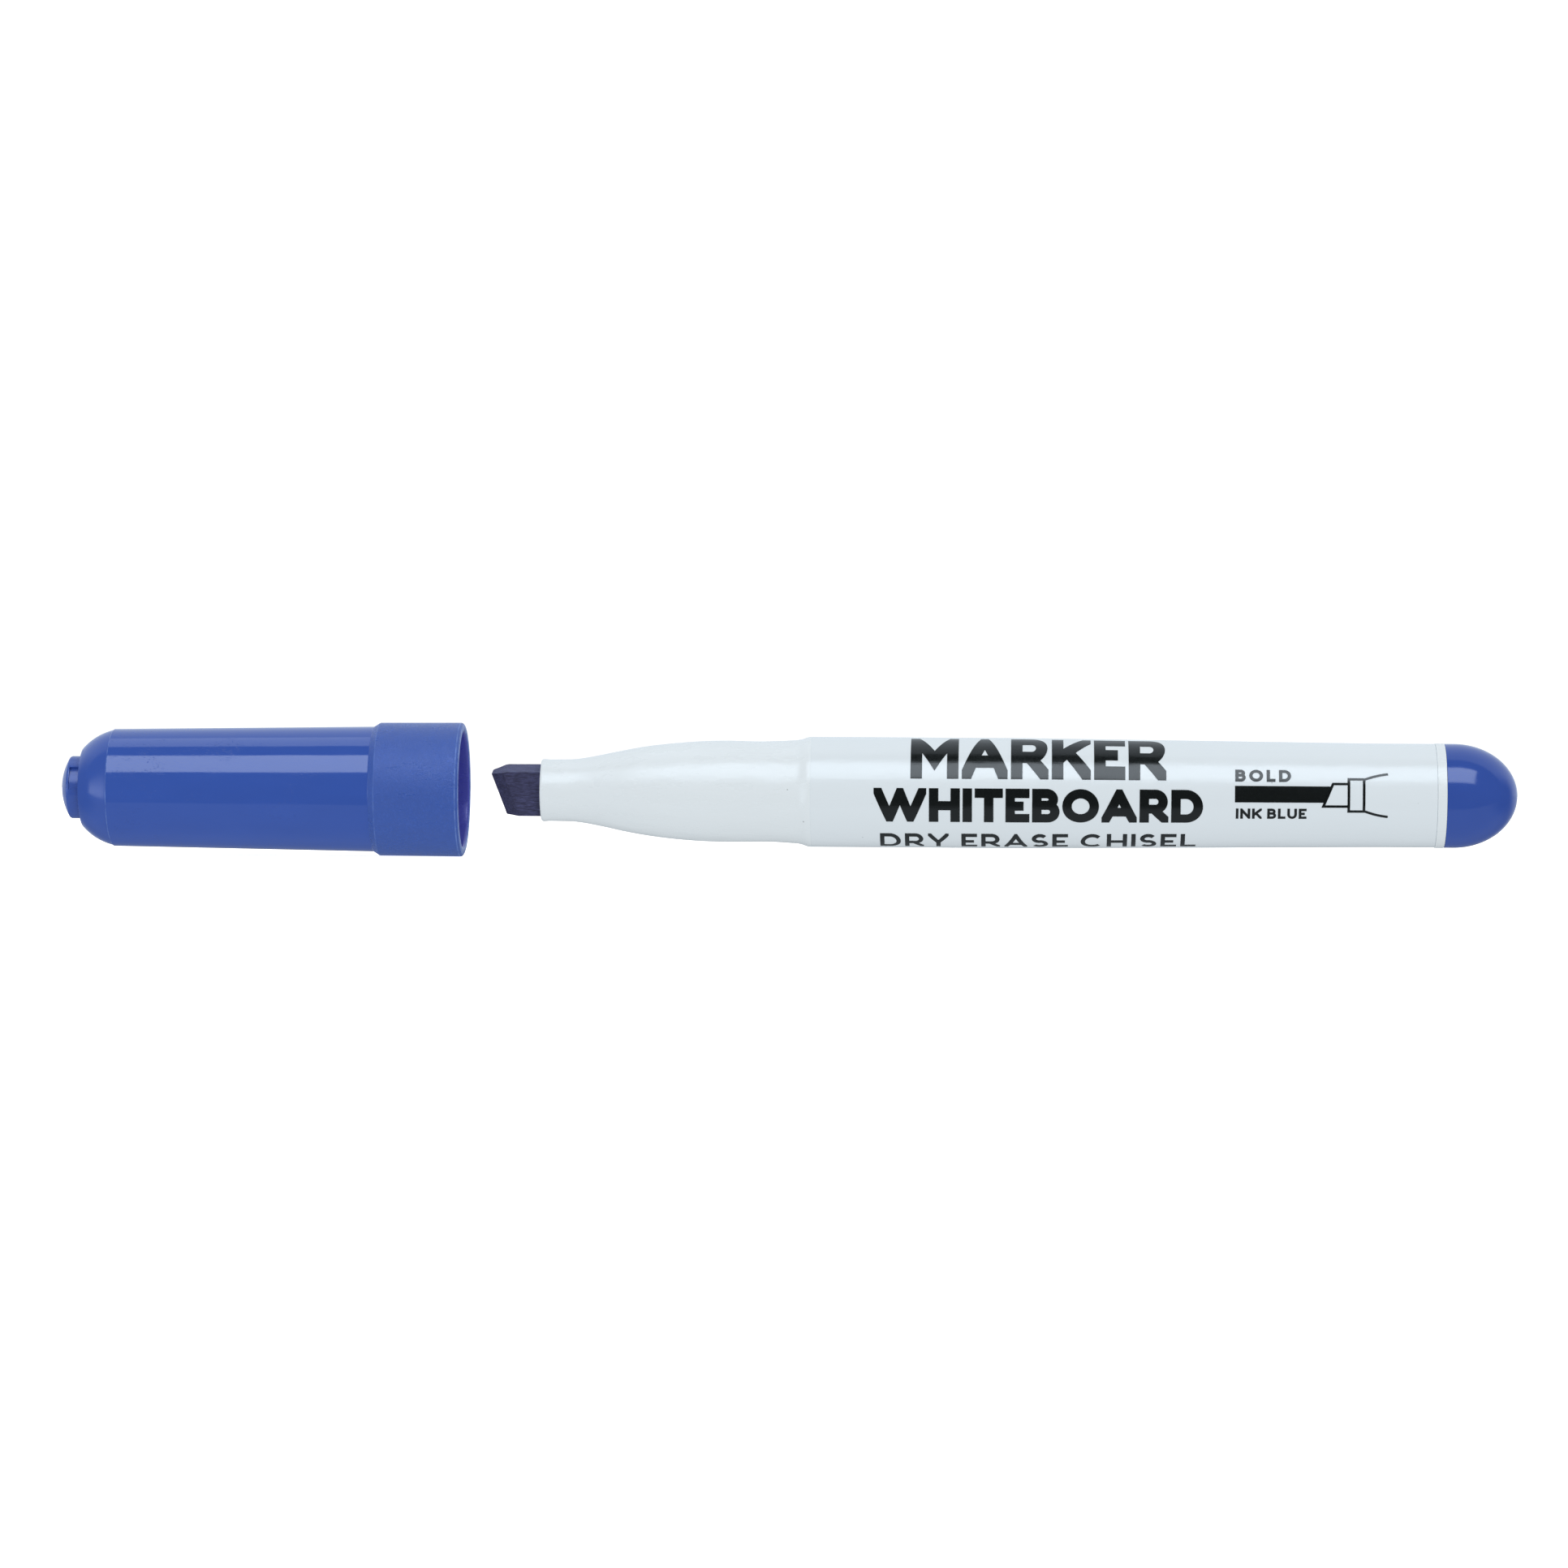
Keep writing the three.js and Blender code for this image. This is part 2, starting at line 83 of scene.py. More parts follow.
def arc(a, corner, b, radius, steps=5):
    """Points that round the corner between a and b with a fillet of about that radius."""
    pa, pc, pb = Vector(a), Vector(corner), Vector(b)
    da, db = pa - pc, pb - pc
    turn = math.pi - da.angle(db)
    if turn < FLAT_TURN:
        return [tuple(pc)]
    cut = min(radius * math.tan(turn / 2), da.length * FILLET_SHARE, db.length * FILLET_SHARE)
    start, end = pc + da.normalized() * cut, pc + db.normalized() * cut
    # support points keep the flats beside the fillet flat when they are shaded
    before = pc + da.normalized() * min(cut * SUPPORT_REACH, da.length * SUPPORT_SHARE)
    after = pc + db.normalized() * min(cut * SUPPORT_REACH, db.length * SUPPORT_SHARE)
    fillet = curve(start, pc, end, steps=steps) + [tuple(end)]
    return [tuple(before)] + fillet + [tuple(after)]


def rounded(corners):
    """An open outline of (x, radius) or (x, radius, fillet) corners, with its fillets."""
    out = [corners[0][:2]]
    for before, c, after in zip(corners, corners[1:], corners[2:]):
        if len(c) == 2:
            out.append(c)
        else:
            out += arc(before[:2], c[:2], after[:2], c[2])
    return out + [corners[-1][:2]]


def curve(*pulls, steps):
    """Points of a Bezier curve with those control points, without its last one."""
    degree = len(pulls) - 1
    out = []
    for i in range(steps):
        t = i / steps
        shares = [math.comb(degree, k) * t ** k * (1 - t) ** (degree - k) for k in range(degree + 1)]
        out.append(tuple(sum(s * p[axis] for s, p in zip(shares, pulls)) for axis in (0, 1)))
    return out


def line(a, b, step):
    """Points from a to b, without b, about that far apart."""
    n = max(1, round(math.dist(a, b) / step))
    return [tuple(p + (q - p) * i / n for p, q in zip(a, b)) for i in range(n)]


# ---- turned meshes ----
def scene_object(name, data):
    obj = bpy.data.objects.new(name, data)
    bpy.context.scene.collection.objects.link(obj)
    return obj


def finished_mesh(name, bm):
    mesh = bpy.data.meshes.new(name)
    bm.to_mesh(mesh)
    bm.free()
    return mesh


def smooth_object(name, bm, body):
    """An object made from a mesh in metres, shaded smooth between its sharp edges."""
    bmesh.ops.recalc_face_normals(bm, faces=bm.faces)
    mesh = finished_mesh(name, bm)
    mesh.shade_smooth()
    mesh.set_sharp_from_angle(angle=SHARP)
    obj = scene_object(name, mesh)
    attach(obj, body)
    return obj


def even_angles():
    return {round(2 * math.pi * i / SIDES, 6) for i in range(SIDES)}


def beside(centres, shares, half, offset):
    """Angles just before and after edges that lie those shares of half from each centre."""
    return {round((centre + share * (half + e)) % (2 * math.pi), 6)
            for centre in centres for share in shares for e in (-offset, offset)}


def quarter(steps):
    """Angles from 0 to 90 degrees."""
    return [math.pi / 2 * i / steps for i in range(steps + 1)]


def off_centre(angle, centre):
    """The angle measured from the centre, within half a turn."""
    return (angle - centre + math.pi) % (2 * math.pi) - math.pi


def turned(name, profile, origin_x, body, shape=None, angles=None, closed=True):
    """Turns a profile of (x, radius) about the marker's axis. shape(x, radius, angle) may
    return another (x, radius); angle 0 faces -Y and 90 degrees faces +Z."""
    angles = angles or sorted(even_angles())
    bm = bmesh.new()
    rows = []
    for x, r in profile:
        if abs(r) < ON_AXIS:
            rows.append([bm.verts.new(((origin_x + x) * MM, 0, AXIS_Z * MM))] * len(angles))
            continue
        row = []
        for a in angles:
            px, pr = shape(x, r, a) if shape else (x, r)
            place = (origin_x + px, -pr * math.cos(a), AXIS_Z + pr * math.sin(a))
            row.append(bm.verts.new([c * MM for c in place]))
        rows.append(row)
    pairs = list(zip(rows, rows[1:]))
    if closed:
        pairs.append((rows[-1], rows[0]))
    for one, two in pairs:
        for i in range(len(angles)):
            j = (i + 1) % len(angles)
            corners = [one[i], one[j], two[j], two[i]]
            corners = [v for k, v in enumerate(corners) if v != corners[k - 1]]
            if len(corners) > 2:
                bm.faces.new(corners)
    bmesh.ops.remove_doubles(bm, verts=bm.verts, dist=MERGE_DISTANCE)
    return smooth_object(name, bm, body)


def wave(x, angle, length, seed):
    """Smooth noise on the turned surface, in waves of about that length."""
    around = Vector((0, math.cos(angle), math.sin(angle))) * WAVES_ROUND
    return noise.noise(Vector((x / length, seed, -seed)) + around)


def ring_noise(angle, detail, seed):
    """Noise that depends only on the angle."""
    return noise.noise(Vector((math.cos(angle) * detail, math.sin(angle) * detail, seed)))


def cut(bm, point, direction, clear=False):
    """Divides the mesh at a plane, and drops what lies beyond it where clear is set."""
    geom = bm.verts[:] + bm.edges[:] + bm.faces[:]
    return bmesh.ops.bisect_plane(bm, geom=geom, plane_co=point, plane_no=direction, clear_outer=clear)


# ---- material nodes ----
def new_material(name):
    mat = bpy.data.materials.new(name)
    mat.use_nodes = True
    mat.node_tree.nodes.clear()
    return mat


def shade(color, factor):
    """The colour made lighter or darker."""
    return tuple(min(1.0, c * factor) for c in color)


class Graph:
    """Short calls for building a node tree."""
    def __init__(self, tree):
        self.tree = tree

    def add(self, kind, **inputs):
        node = self.tree.nodes.new(kind)
        for key, value in inputs.items():
            self.put(node.inputs[key.replace("_", " ")], value)
        return node

    def put(self, socket, value):
        if isinstance(value, bpy.types.NodeSocket):
            self.tree.links.new(value, socket)
        else:
            socket.default_value = value

    def math(self, op, a, b=0.0, c=0.0):
        node = self.tree.nodes.new("ShaderNodeMath")
        node.operation = op
        for socket, value in zip(node.inputs, (a, b, c)):
            self.put(socket, value)
        return node.outputs[0]

    def times(self, a, b):
        return self.math("MULTIPLY", a, b)

    def total(self, first, *others):
        for term in others:
            first = self.math("ADD", first, term)
        return first

    def ramp(self, value, low, high, to_low=0.0, to_high=1.0):
        """A smooth step from to_low, where the value is low, to to_high, where it is high."""
        node = self.tree.nodes.new("ShaderNodeMapRange")
        node.interpolation_type = "SMOOTHSTEP"
        for socket, v in zip(node.inputs[:5], (value, low, high, to_low, to_high)):
            self.put(socket, v)
        return node.outputs[0]

    def window(self, value, low, high, soft):
        """1 between low and high, and 0 outside, with edges softened by that much."""
        up = self.ramp(value, low - soft, low + soft)
        down = self.ramp(value, high - soft, high + soft, 1.0, 0.0)
        return self.times(up, down)

    def mix(self, factor, a, b):
        node = self.tree.nodes.new("ShaderNodeMix")
        node.data_type = "RGBA"
        self.put(node.inputs[0], factor)
        self.put(node.inputs[6], a if not isinstance(a, tuple) else (*a, 1.0))
        self.put(node.inputs[7], b if not isinstance(b, tuple) else (*b, 1.0))
        return node.outputs[2]

    def split(self, vector):
        node = self.add("ShaderNodeSeparateXYZ")
        self.tree.links.new(vector, node.inputs[0])
        return node.outputs

    def place(self, per_mm=(1, 1, 1)):
        """The surface's own place in millimetres, scaled along each axis."""
        coord = self.tree.nodes.new("ShaderNodeTexCoord")
        mapping = self.add("ShaderNodeMapping")
        mapping.inputs["Scale"].default_value = [s / MM for s in per_mm]
        self.tree.links.new(coord.outputs["Object"], mapping.inputs["Vector"])
        return mapping.outputs[0]

    def cloud(self, pattern, detail=2.0, roughness=0.5):
        """Noise in one of the patterns below."""
        return self.noise(self.place(pattern), 1.0, detail, roughness)

    def noise(self, vector, scale, detail=2.0, roughness=0.5):
        node = self.add("ShaderNodeTexNoise", Scale=scale, Detail=detail, Roughness=roughness)
        self.tree.links.new(vector, node.inputs["Vector"])
        return node.outputs[0]

    def dots(self, vector, per_mm, full, faded, strength):
        """Round dots, one to a cell, that fade out between two radii."""
        node = self.add("ShaderNodeTexVoronoi", Scale=per_mm)
        self.tree.links.new(vector, node.inputs["Vector"])
        return self.ramp(node.outputs["Distance"], full, faded, strength, 0.0)

    def bump(self, height, depth, normal=None):
        """Relief that many millimetres deep, on top of another normal where one is given."""
        node = self.add("ShaderNodeBump", Strength=1.0, Distance=depth * MM)
        self.put(node.inputs["Height"], height)
        if normal is not None:
            self.tree.links.new(normal, node.inputs["Normal"])
        return node.outputs[0]

    def surface(self, color, roughness, normal, **uniform):
        node = self.tree.nodes.new("ShaderNodeBsdfPrincipled")
        self.put(node.inputs["Base Color"], color)
        self.put(node.inputs["Roughness"], roughness)
        if normal is not None:
            self.put(node.inputs["Normal"], normal)
        for key, value in uniform.items():
            node.inputs[key.replace("_", " ")].default_value = value
        out = self.tree.nodes.new("ShaderNodeOutputMaterial")
        self.tree.links.new(node.outputs[0], out.inputs[0])


PLASTIC_IOR, FIBRE_IOR = 1.5, 1.45
UNEVEN = (0.25, 0.8)  # the part of a noise's range that drives a roughness
# the second colour is a painted highlight, used for thin pale lines along the cap's edges
DUST_PALE, EDGE_HIGHLIGHT_PALE = (0.45, 0.52, 0.7), (0.21, 0.35, 0.78)
SPECK_DARK = (0.13, 0.15, 0.14)
SHEEN_BLUE = (0.55, 0.63, 1.0, 1.0)
# patterns, as features to the millimetre along x, y and z
FLOW_MARKS, MOULD_WAVES, GLOSS_PATCHES = (0.12, 0.35, 0.35), (0.07, 0.2, 0.2), (0.25, 0.8, 0.8)
# the second pattern varies how strong the painted edge highlights are
DUSTY_AREAS, EDGE_HIGHLIGHT_BREAKS = (0.31, 0.31, 0.31), (0.5, 0.7, 0.7)
SCRATCHES, SCUFFED_AREAS, WORN_SPOTS = (6.0, 1.2, 6.0), (0.1, 0.25, 0.25), (0.45, 0.9, 0.9)
WHITE_TONE, WHITE_PATCHES, SINK_WAVES = (0.06, 0.15, 0.15), (0.2, 0.6, 0.6), (0.16, 0.5, 0.5)
STRANDS, SOAKED_AREAS, FIBRE_PITS = (0.9, 6.0, 6.0), (0.35, 0.6, 0.6), (3.5, 9.0, 9.0)
INK_MOTTLE = (2.0, 2.0, 2.0)


def blue_plastic(name, base, rough, grain=0.0, scuffs=True, edges=(), worn=None):
    """Moulded blue polypropylene: slight flow variation, waviness, dust specks, scuffs and painted edge
    highlights.
    edges: (x, half width, strength) of thin pale lines painted along an edge as a highlight.
    worn: (from x, to x) of a stretch with more scuffs than the rest."""
    mat = new_material(name)
    g = Graph(mat.node_tree)
    at = g.place()
    along = g.split(at)[0]
    color = g.mix(g.cloud(FLOW_MARKS, 3.0), shade(base, 0.94), shade(base, 1.07))
    dusty = g.ramp(g.cloud(DUSTY_AREAS, 1.0), 0.62, 0.66)
    dust = g.dots(at, per_mm=0.5, full=0.02, faded=0.045, strength=0.5)
    color = g.mix(g.times(dust, dusty), color, DUST_PALE)
    # painted highlight: a thin pale line of colour along each given edge, its strength varied by noise
    edge_highlight_strength = g.ramp(g.cloud(EDGE_HIGHLIGHT_BREAKS, 4.0, 0.65), 0.36, 0.62, 0.25, 1.0)
    for x, half, strength in edges:
        thin = g.times(g.window(along, x - half, x + half, half * 0.5), strength)
        color = g.mix(g.times(thin, edge_highlight_strength), color, EDGE_HIGHLIGHT_PALE)
    roughness = g.ramp(g.cloud(GLOSS_PATCHES, 4.0, 0.6), *UNEVEN, *rough)
    normal = g.bump(g.cloud(MOULD_WAVES, 1.0), depth=0.03)
    if scuffs:
        where = g.ramp(g.cloud(SCUFFED_AREAS), 0.56, 0.7)
        if worn:
            spots = g.ramp(g.cloud(WORN_SPOTS), 0.48, 0.6)
            where = g.math("MAXIMUM", where, g.times(g.window(along, *worn, soft=1.0), spots))
        marks = g.times(g.ramp(g.cloud(SCRATCHES, 2.0, 0.7), 0.60, 0.7), where)
        normal = g.bump(marks, 0.02, normal)
        roughness = g.total(roughness, g.times(marks, 0.12))
    if grain:
        pebbles = g.noise(at, 3.6, 5.0, 0.8)
        normal = g.bump(pebbles, grain, normal)
        color = g.mix(g.ramp(pebbles, 0.5, 0.68, 0.0, 0.45), color, shade(base, 1.5))
    g.surface(color, roughness, normal, IOR=PLASTIC_IOR)
    return mat


def white_plastic(name, base, rough, waviness, specks=0.5):
    """White moulded plastic or film: soft sink waves and a few tiny dark specks."""
    mat = new_material(name)
    g = Graph(mat.node_tree)
    at = g.place()
    color = g.mix(g.cloud(WHITE_TONE, 3.0), shade(base, 0.985), shade(base, 1.012))
    dirt = g.dots(at, per_mm=0.28, full=0.022, faded=0.036, strength=specks)
    color = g.mix(dirt, color, SPECK_DARK)
    roughness = g.ramp(g.cloud(WHITE_PATCHES, 4.0, 0.6), *UNEVEN, *rough)
    normal = g.bump(g.cloud(SINK_WAVES), waviness)
    normal = g.bump(g.noise(at, 2.2, 3.0, 0.6), waviness * 0.04, normal)
    g.surface(color, roughness, normal, IOR=PLASTIC_IOR)
    return mat


def fibre(name, base, pale, depth=0.03):
    """Dense ink-soaked fibres that run along X."""
    mat = new_material(name)
    g = Graph(mat.node_tree)
    strands = g.cloud(STRANDS, 5.0, 0.75)
    color = g.mix(g.ramp(strands, 0.34, 0.70), base, pale)
    soaked = g.ramp(g.cloud(SOAKED_AREAS, 3.0), 0.35, 0.7, 0.0, 0.35)
    color = g.mix(soaked, color, shade(base, 0.7))
    pits = g.cloud(FIBRE_PITS, 3.0, 0.7)
    normal = g.bump(pits, depth * 0.6, g.bump(strands, depth))
    g.surface(color, g.ramp(strands, 0.3, 0.7, 0.75, 0.95), normal,
              IOR=FIBRE_IOR, Specular_IOR_Level=0.35, Sheen_Weight=0.45, Sheen_Roughness=0.4,
              Sheen_Tint=SHEEN_BLUE)
    return mat


def print_ink(name, base):
    """Glossy black print with a faintly uneven film of ink."""
    mat = new_material(name)
    g = Graph(mat.node_tree)
    mottle = g.cloud(INK_MOTTLE, 3.0, 0.6)
    color = g.mix(mottle, shade(base, 0.8), shade(base, 1.25))
    normal = g.bump(g.cloud(SINK_WAVES), depth=0.04)
    g.surface(color, g.ramp(mottle, 0.3, 0.7, 0.155, 0.2), normal, IOR=PLASTIC_IOR)
    return mat


BLUE = (0.039, 0.098, 0.427)
# painted highlights: (x, half width, strength) of thin pale lines along the crown's edge, the collar's
# back edge and the lip
crown_edge_highlight = (MOUTH_X + SLEEVE_END - 0.01, 0.06, 0.5)
collar_back_highlight = (MOUTH_X + COLLAR_BACK, 0.07, 0.25)
lip_highlights = [(MOUTH_X - 0.4, 0.07, 0.55), (MOUTH_X - 0.04, 0.05, 0.7)]
cap_gloss = blue_plastic("cap_gloss", BLUE, rough=(0.07, 0.11), edges=[crown_edge_highlight],
                         worn=(MOUTH_X + SLEEVE_END + 1.05, MOUTH_X + SLEEVE_END + 7.15))
crown_gloss = blue_plastic("crown_gloss", BLUE, rough=(0.15, 0.21), edges=[crown_edge_highlight])
cap_satin = blue_plastic("cap_satin", (0.039, 0.104, 0.435), rough=(0.26, 0.34), grain=0.08,
                         scuffs=False, edges=[collar_back_highlight] + lip_highlights)
# the inside of the mouth also gets a painted highlight line at its edge
cap_inside = blue_plastic("cap_inside", (0.075, 0.088, 0.50), rough=(0.25, 0.35), scuffs=False,
                          edges=[(MOUTH_X - 0.04, 0.06, 0.7)])
plug_gloss = blue_plastic("plug_gloss", (0.034, 0.085, 0.385), rough=(0.11, 0.15), scuffs=False)
liner_blue = blue_plastic("liner_blue", BLUE, rough=(0.22, 0.3), scuffs=False)
barrel_white = white_plastic("barrel_white", (0.805, 0.88, 0.925), rough=(0.24, 0.34), waviness=0.1)
film_white = white_plastic("film_white", (0.78, 0.86, 0.915), rough=(0.2, 0.28), waviness=0.06,
                           specks=0.35)
sheath_clear = white_plastic("sheath_clear", (0.72, 0.76, 0.82), rough=(0.2, 0.3), waviness=0.1,
                             specks=0.0)
nib_fibre = fibre("nib_fibre_streaks", (0.030, 0.030, 0.069), pale=(0.088, 0.094, 0.212))
core_fibre = fibre("core_fibre_bundle", (0.03, 0.035, 0.09), pale=(0.08, 0.1, 0.25), depth=0.05)
ink_black = print_ink("ink_black", (0.0055, 0.0075, 0.0075))

# ---- cap shell, with x from its mouth ----
LIP_DEPTH = 0.42
LIP_OUTER, LIP_INNER = 8.02, 7.86  # radii of the lip's narrow flat crest
MOUTH_RADIUS = 7.4
LIP_BACK, COLLAR_CREST, NEAR_LIP = -1.0, -0.62, -1.4  # stations behind the mouth
COLLAR_DRAFT = 0.005
COLLAR_BACK_RADIUS, COLLAR_BEVEL = 8.62, 0.8
SLEEVE_FRONT_RADIUS, SLEEVE_BACK_RADIUS = 8.12, 7.62
CROWN_STEP, CROWN_EDGE_RADIUS = 0.02, 7.52
CROWN_RIM, CROWN_HOLE, CROWN_WALL = 5.15, 4.92, 1.0
CROWN_BULGE, CROWN_BULGE_RADIUS = 1.6, 6.95  # the crown's curve is pulled to this place
SNAP_RING, SNAP_RING_RADIUS, SNAP_RING_RAMP, SNAP_RING_CREST = -1.8, 7.24, 0.3, 0.4
MOUTH_BORE_END, MOUTH_BORE_DRAFT = -10.3, 0.02
SLEEVE_BORE_START, SLEEVE_BORE_END = (-11.5, 6.98), (-44.05, 6.5)
CROWN_BORE_BULGE = (-46.85, 6.25)


def lip_outline():
    """The mouth's lip: it rounds over from the collar to a narrow crest and into the mouth."""
    outer = [(-LIP_DEPTH * (1 - math.sin(t)), LIP_OUTER + (COLLAR_RADIUS - LIP_OUTER) * math.cos(t))
             for t in quarter(8)]
    inner = [(-LIP_DEPTH * (1 - math.cos(t)), LIP_INNER - (LIP_INNER - MOUTH_RADIUS) * math.sin(t))
             for t in quarter(6)]
    return outer + inner


def cap_outside():
    """From the hole in the crown to the front of the collar."""
    crown = curve((CROWN_END, CROWN_RIM), (CROWN_END + CROWN_BULGE, CROWN_BULGE_RADIUS),
                  (SLEEVE_END, CROWN_EDGE_RADIUS), steps=26)[1:]
    rim = rounded([(CROWN_END + CROWN_WALL, CROWN_HOLE), (CROWN_END, CROWN_HOLE, 0.05),
                   (CROWN_END, CROWN_RIM, 0.1), crown[0]])
    sleeve = rounded([crown[-1], (SLEEVE_END, CROWN_EDGE_RADIUS, 0.02),
                      (SLEEVE_END + CROWN_STEP, SLEEVE_BACK_RADIUS, 0.09),
                      (COLLAR_BACK - COLLAR_BEVEL, SLEEVE_FRONT_RADIUS, 0.12),
                      (COLLAR_BACK, COLLAR_BACK_RADIUS, 0.22),
                      (NEAR_LIP, COLLAR_RADIUS - COLLAR_DRAFT)])
    return rim + crown[1:] + sleeve[1:] + [(COLLAR_CREST, COLLAR_RADIUS)]


def cap_bore():
    """From the mouth past the snap ring to the hole in the crown."""
    ring_front = SNAP_RING - SNAP_RING_RAMP
    ring_back = ring_front - SNAP_RING_CREST
    bore = rounded([(NEAR_LIP, MOUTH_RADIUS), (SNAP_RING, MOUTH_RADIUS, 0.1),
                    (ring_front, SNAP_RING_RADIUS, 0.1), (ring_back, SNAP_RING_RADIUS, 0.1),
                    (ring_back - SNAP_RING_RAMP, MOUTH_RADIUS, 0.1),
                    (MOUTH_BORE_END, MOUTH_RADIUS - MOUTH_BORE_DRAFT, 0.2),
                    (*SLEEVE_BORE_START, 0.2), SLEEVE_BORE_END])
    crown = curve(SLEEVE_BORE_END, CROWN_BORE_BULGE, (CROWN_END + CROWN_WALL, CROWN_HOLE), steps=10)
    return [(LIP_BACK, MOUTH_RADIUS)] + bore + crown[1:]


BURR_BAND, BURR_RADIUS, BURR_DEPTH = (-0.75, -0.3), 8.3, 0.10  # flash round the collar's front edge
OUTER_SKIN = 7.5  # the sleeve's outside has a larger radius than this, and its bore a smaller one
SLEEVE_RIPPLE, RIPPLE_LENGTH = 0.006, 14.0


def cap_shape(x, r, a):
    """Burr lines of flash round the collar's front edge and the lip, and faint moulding waves."""
    if BURR_BAND[0] < x < BURR_BAND[1] and r > BURR_RADIUS:
        return x - BURR_DEPTH * max(0.0, ring_noise(a, 9, 4.0)), r
    if r > OUTER_SKIN and COLLAR_BACK - COLLAR_BEVEL > x > SLEEVE_END:
        return x, r - SLEEVE_RIPPLE * (1 + wave(x, a, RIPPLE_LENGTH, 2.0))
    return x, r


cap_skin = turned("cap_shell_skin", cap_outside() + lip_outline() + cap_bore(), MOUTH_X, "cap", cap_shape)
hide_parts("cap_shell")
for material in (cap_gloss, cap_satin, cap_inside, crown_gloss):
    cap_skin.data.materials.append(material)
SATIN, INSIDE, CROWN = 1, 2, 3  # places in that list; cap_gloss is 0
SATIN_START, CROWN_BORE_START = COLLAR_BACK - COLLAR_BEVEL + 0.1, -46
for poly in cap_skin.data.polygons:
    c = poly.center / MM
    x, r = c.x - MOUTH_X, math.hypot(c.y, c.z - AXIS_Z)
    inward = c.y * poly.normal.y + (c.z - AXIS_Z) * poly.normal.z < 0
    if inward and r < OUTER_SKIN:
        poly.material_index = INSIDE if x > CROWN_BORE_START else CROWN
    elif x > SATIN_START:
        poly.material_index = SATIN
    elif x < SLEEVE_END:
        poly.material_index = CROWN

# ---- liner, with x from the cap's mouth; its nose shows at the crown ----
LINER_RADIUS, LINER_MOUTH, LINER_MOUTH_RADIUS, LINER_FLARE = 4.8, -34.4, 4.5, 0.6
LINER_BORE_RADIUS, LINER_BORE_END, LINER_NECKING, LINER_NECK_RADIUS = 4.12, -46.2, 1.2, 2.6
LINER_STEP = (0.4, 0.5)  # the slope from the nose to the liner, from the crown's end
NOSE_RADIUS, NOSE_DOME, NOSE_DOME_BULGE = 4.05, 1.1, 2.1
NOSE_EDGE_LENGTH, NOSE_EDGE_DEPTH = 0.2, 0.1  # a bevel between the dome and the nose's side
NOSE_WALL, NOSE_BORE_RADIUS, NOSE_BORE_ROUNDING, NOSE_BORE_BULGE = 1.3, 2.5, 0.8, 2.0
EDGE_GAP = 0.01  # half the gap between the two profile points at a step
VENTS, VENT_HALF = [math.radians(18), math.radians(198)], math.radians(22)
VENT_X = (CROWN_END - 1.38, CROWN_END + 0.25)
VENT_SPLIT = 0.4  # past this share of its half width a vent is a hole, and before it a ramp
VENT_HOLE_RADIUS, VENT_RAMP_INNER, VENT_RAMP_OUTER = 3.72, 3.8, 3.97
FINS, FIN_HALF = [2 * math.pi * i / 6 for i in range(6)], math.radians(4.6)
FIN_X, FIN_RADIUS = (-44.8, -38.4), 6.35


def liner_shape(x, r, a):
    """Cuts the vents into the nose, and raises the fins that centre the liner in the shell."""
    if abs(r - NOSE_RADIUS) < EDGE_GAP and VENT_X[0] < x < VENT_X[1]:
        for vent in VENTS:
            up = off_centre(a, vent) / VENT_HALF
            if VENT_SPLIT < up < 1:
                return x, VENT_HOLE_RADIUS
            if abs(up) < 1:
                t = (VENT_SPLIT - up) / (VENT_SPLIT + 1)
                return x, VENT_RAMP_INNER + (VENT_RAMP_OUTER - VENT_RAMP_INNER) * t
    if r > LINER_RADIUS - EDGE_GAP and FIN_X[0] < x < FIN_X[1]:
        if any(abs(off_centre(a, fin)) < FIN_HALF for fin in FINS):
            return x, FIN_RADIUS
    return x, r


def liner_outside():
    """From the tip of the nose to the front of the fins."""
    dome_end = (NOSE_END + NOSE_DOME, NOSE_RADIUS - NOSE_EDGE_DEPTH)
    dome = curve((NOSE_END, 0.0), (NOSE_END, NOSE_DOME_BULGE), dome_end, steps=16)
    side = rounded([dome[-1], (*dome_end, 0.15), (dome_end[0] + NOSE_EDGE_LENGTH, NOSE_RADIUS, 0.1),
                    (VENT_X[0] - EDGE_GAP, NOSE_RADIUS)])
    vent = [(VENT_X[0] + EDGE_GAP, NOSE_RADIUS), (VENT_X[1] - EDGE_GAP, NOSE_RADIUS),
            (VENT_X[1] + EDGE_GAP, NOSE_RADIUS)]
    back = rounded([(CROWN_END + LINER_STEP[0], NOSE_RADIUS),
                    (CROWN_END + LINER_STEP[1], LINER_RADIUS, 0.1),
                    (FIN_X[0] - EDGE_GAP, LINER_RADIUS)])
    fin = [(FIN_X[0] + EDGE_GAP, LINER_RADIUS), (FIN_X[1] - EDGE_GAP, LINER_RADIUS),
           (FIN_X[1] + EDGE_GAP, LINER_RADIUS)]
    return dome + side[1:] + vent + back[1:] + fin


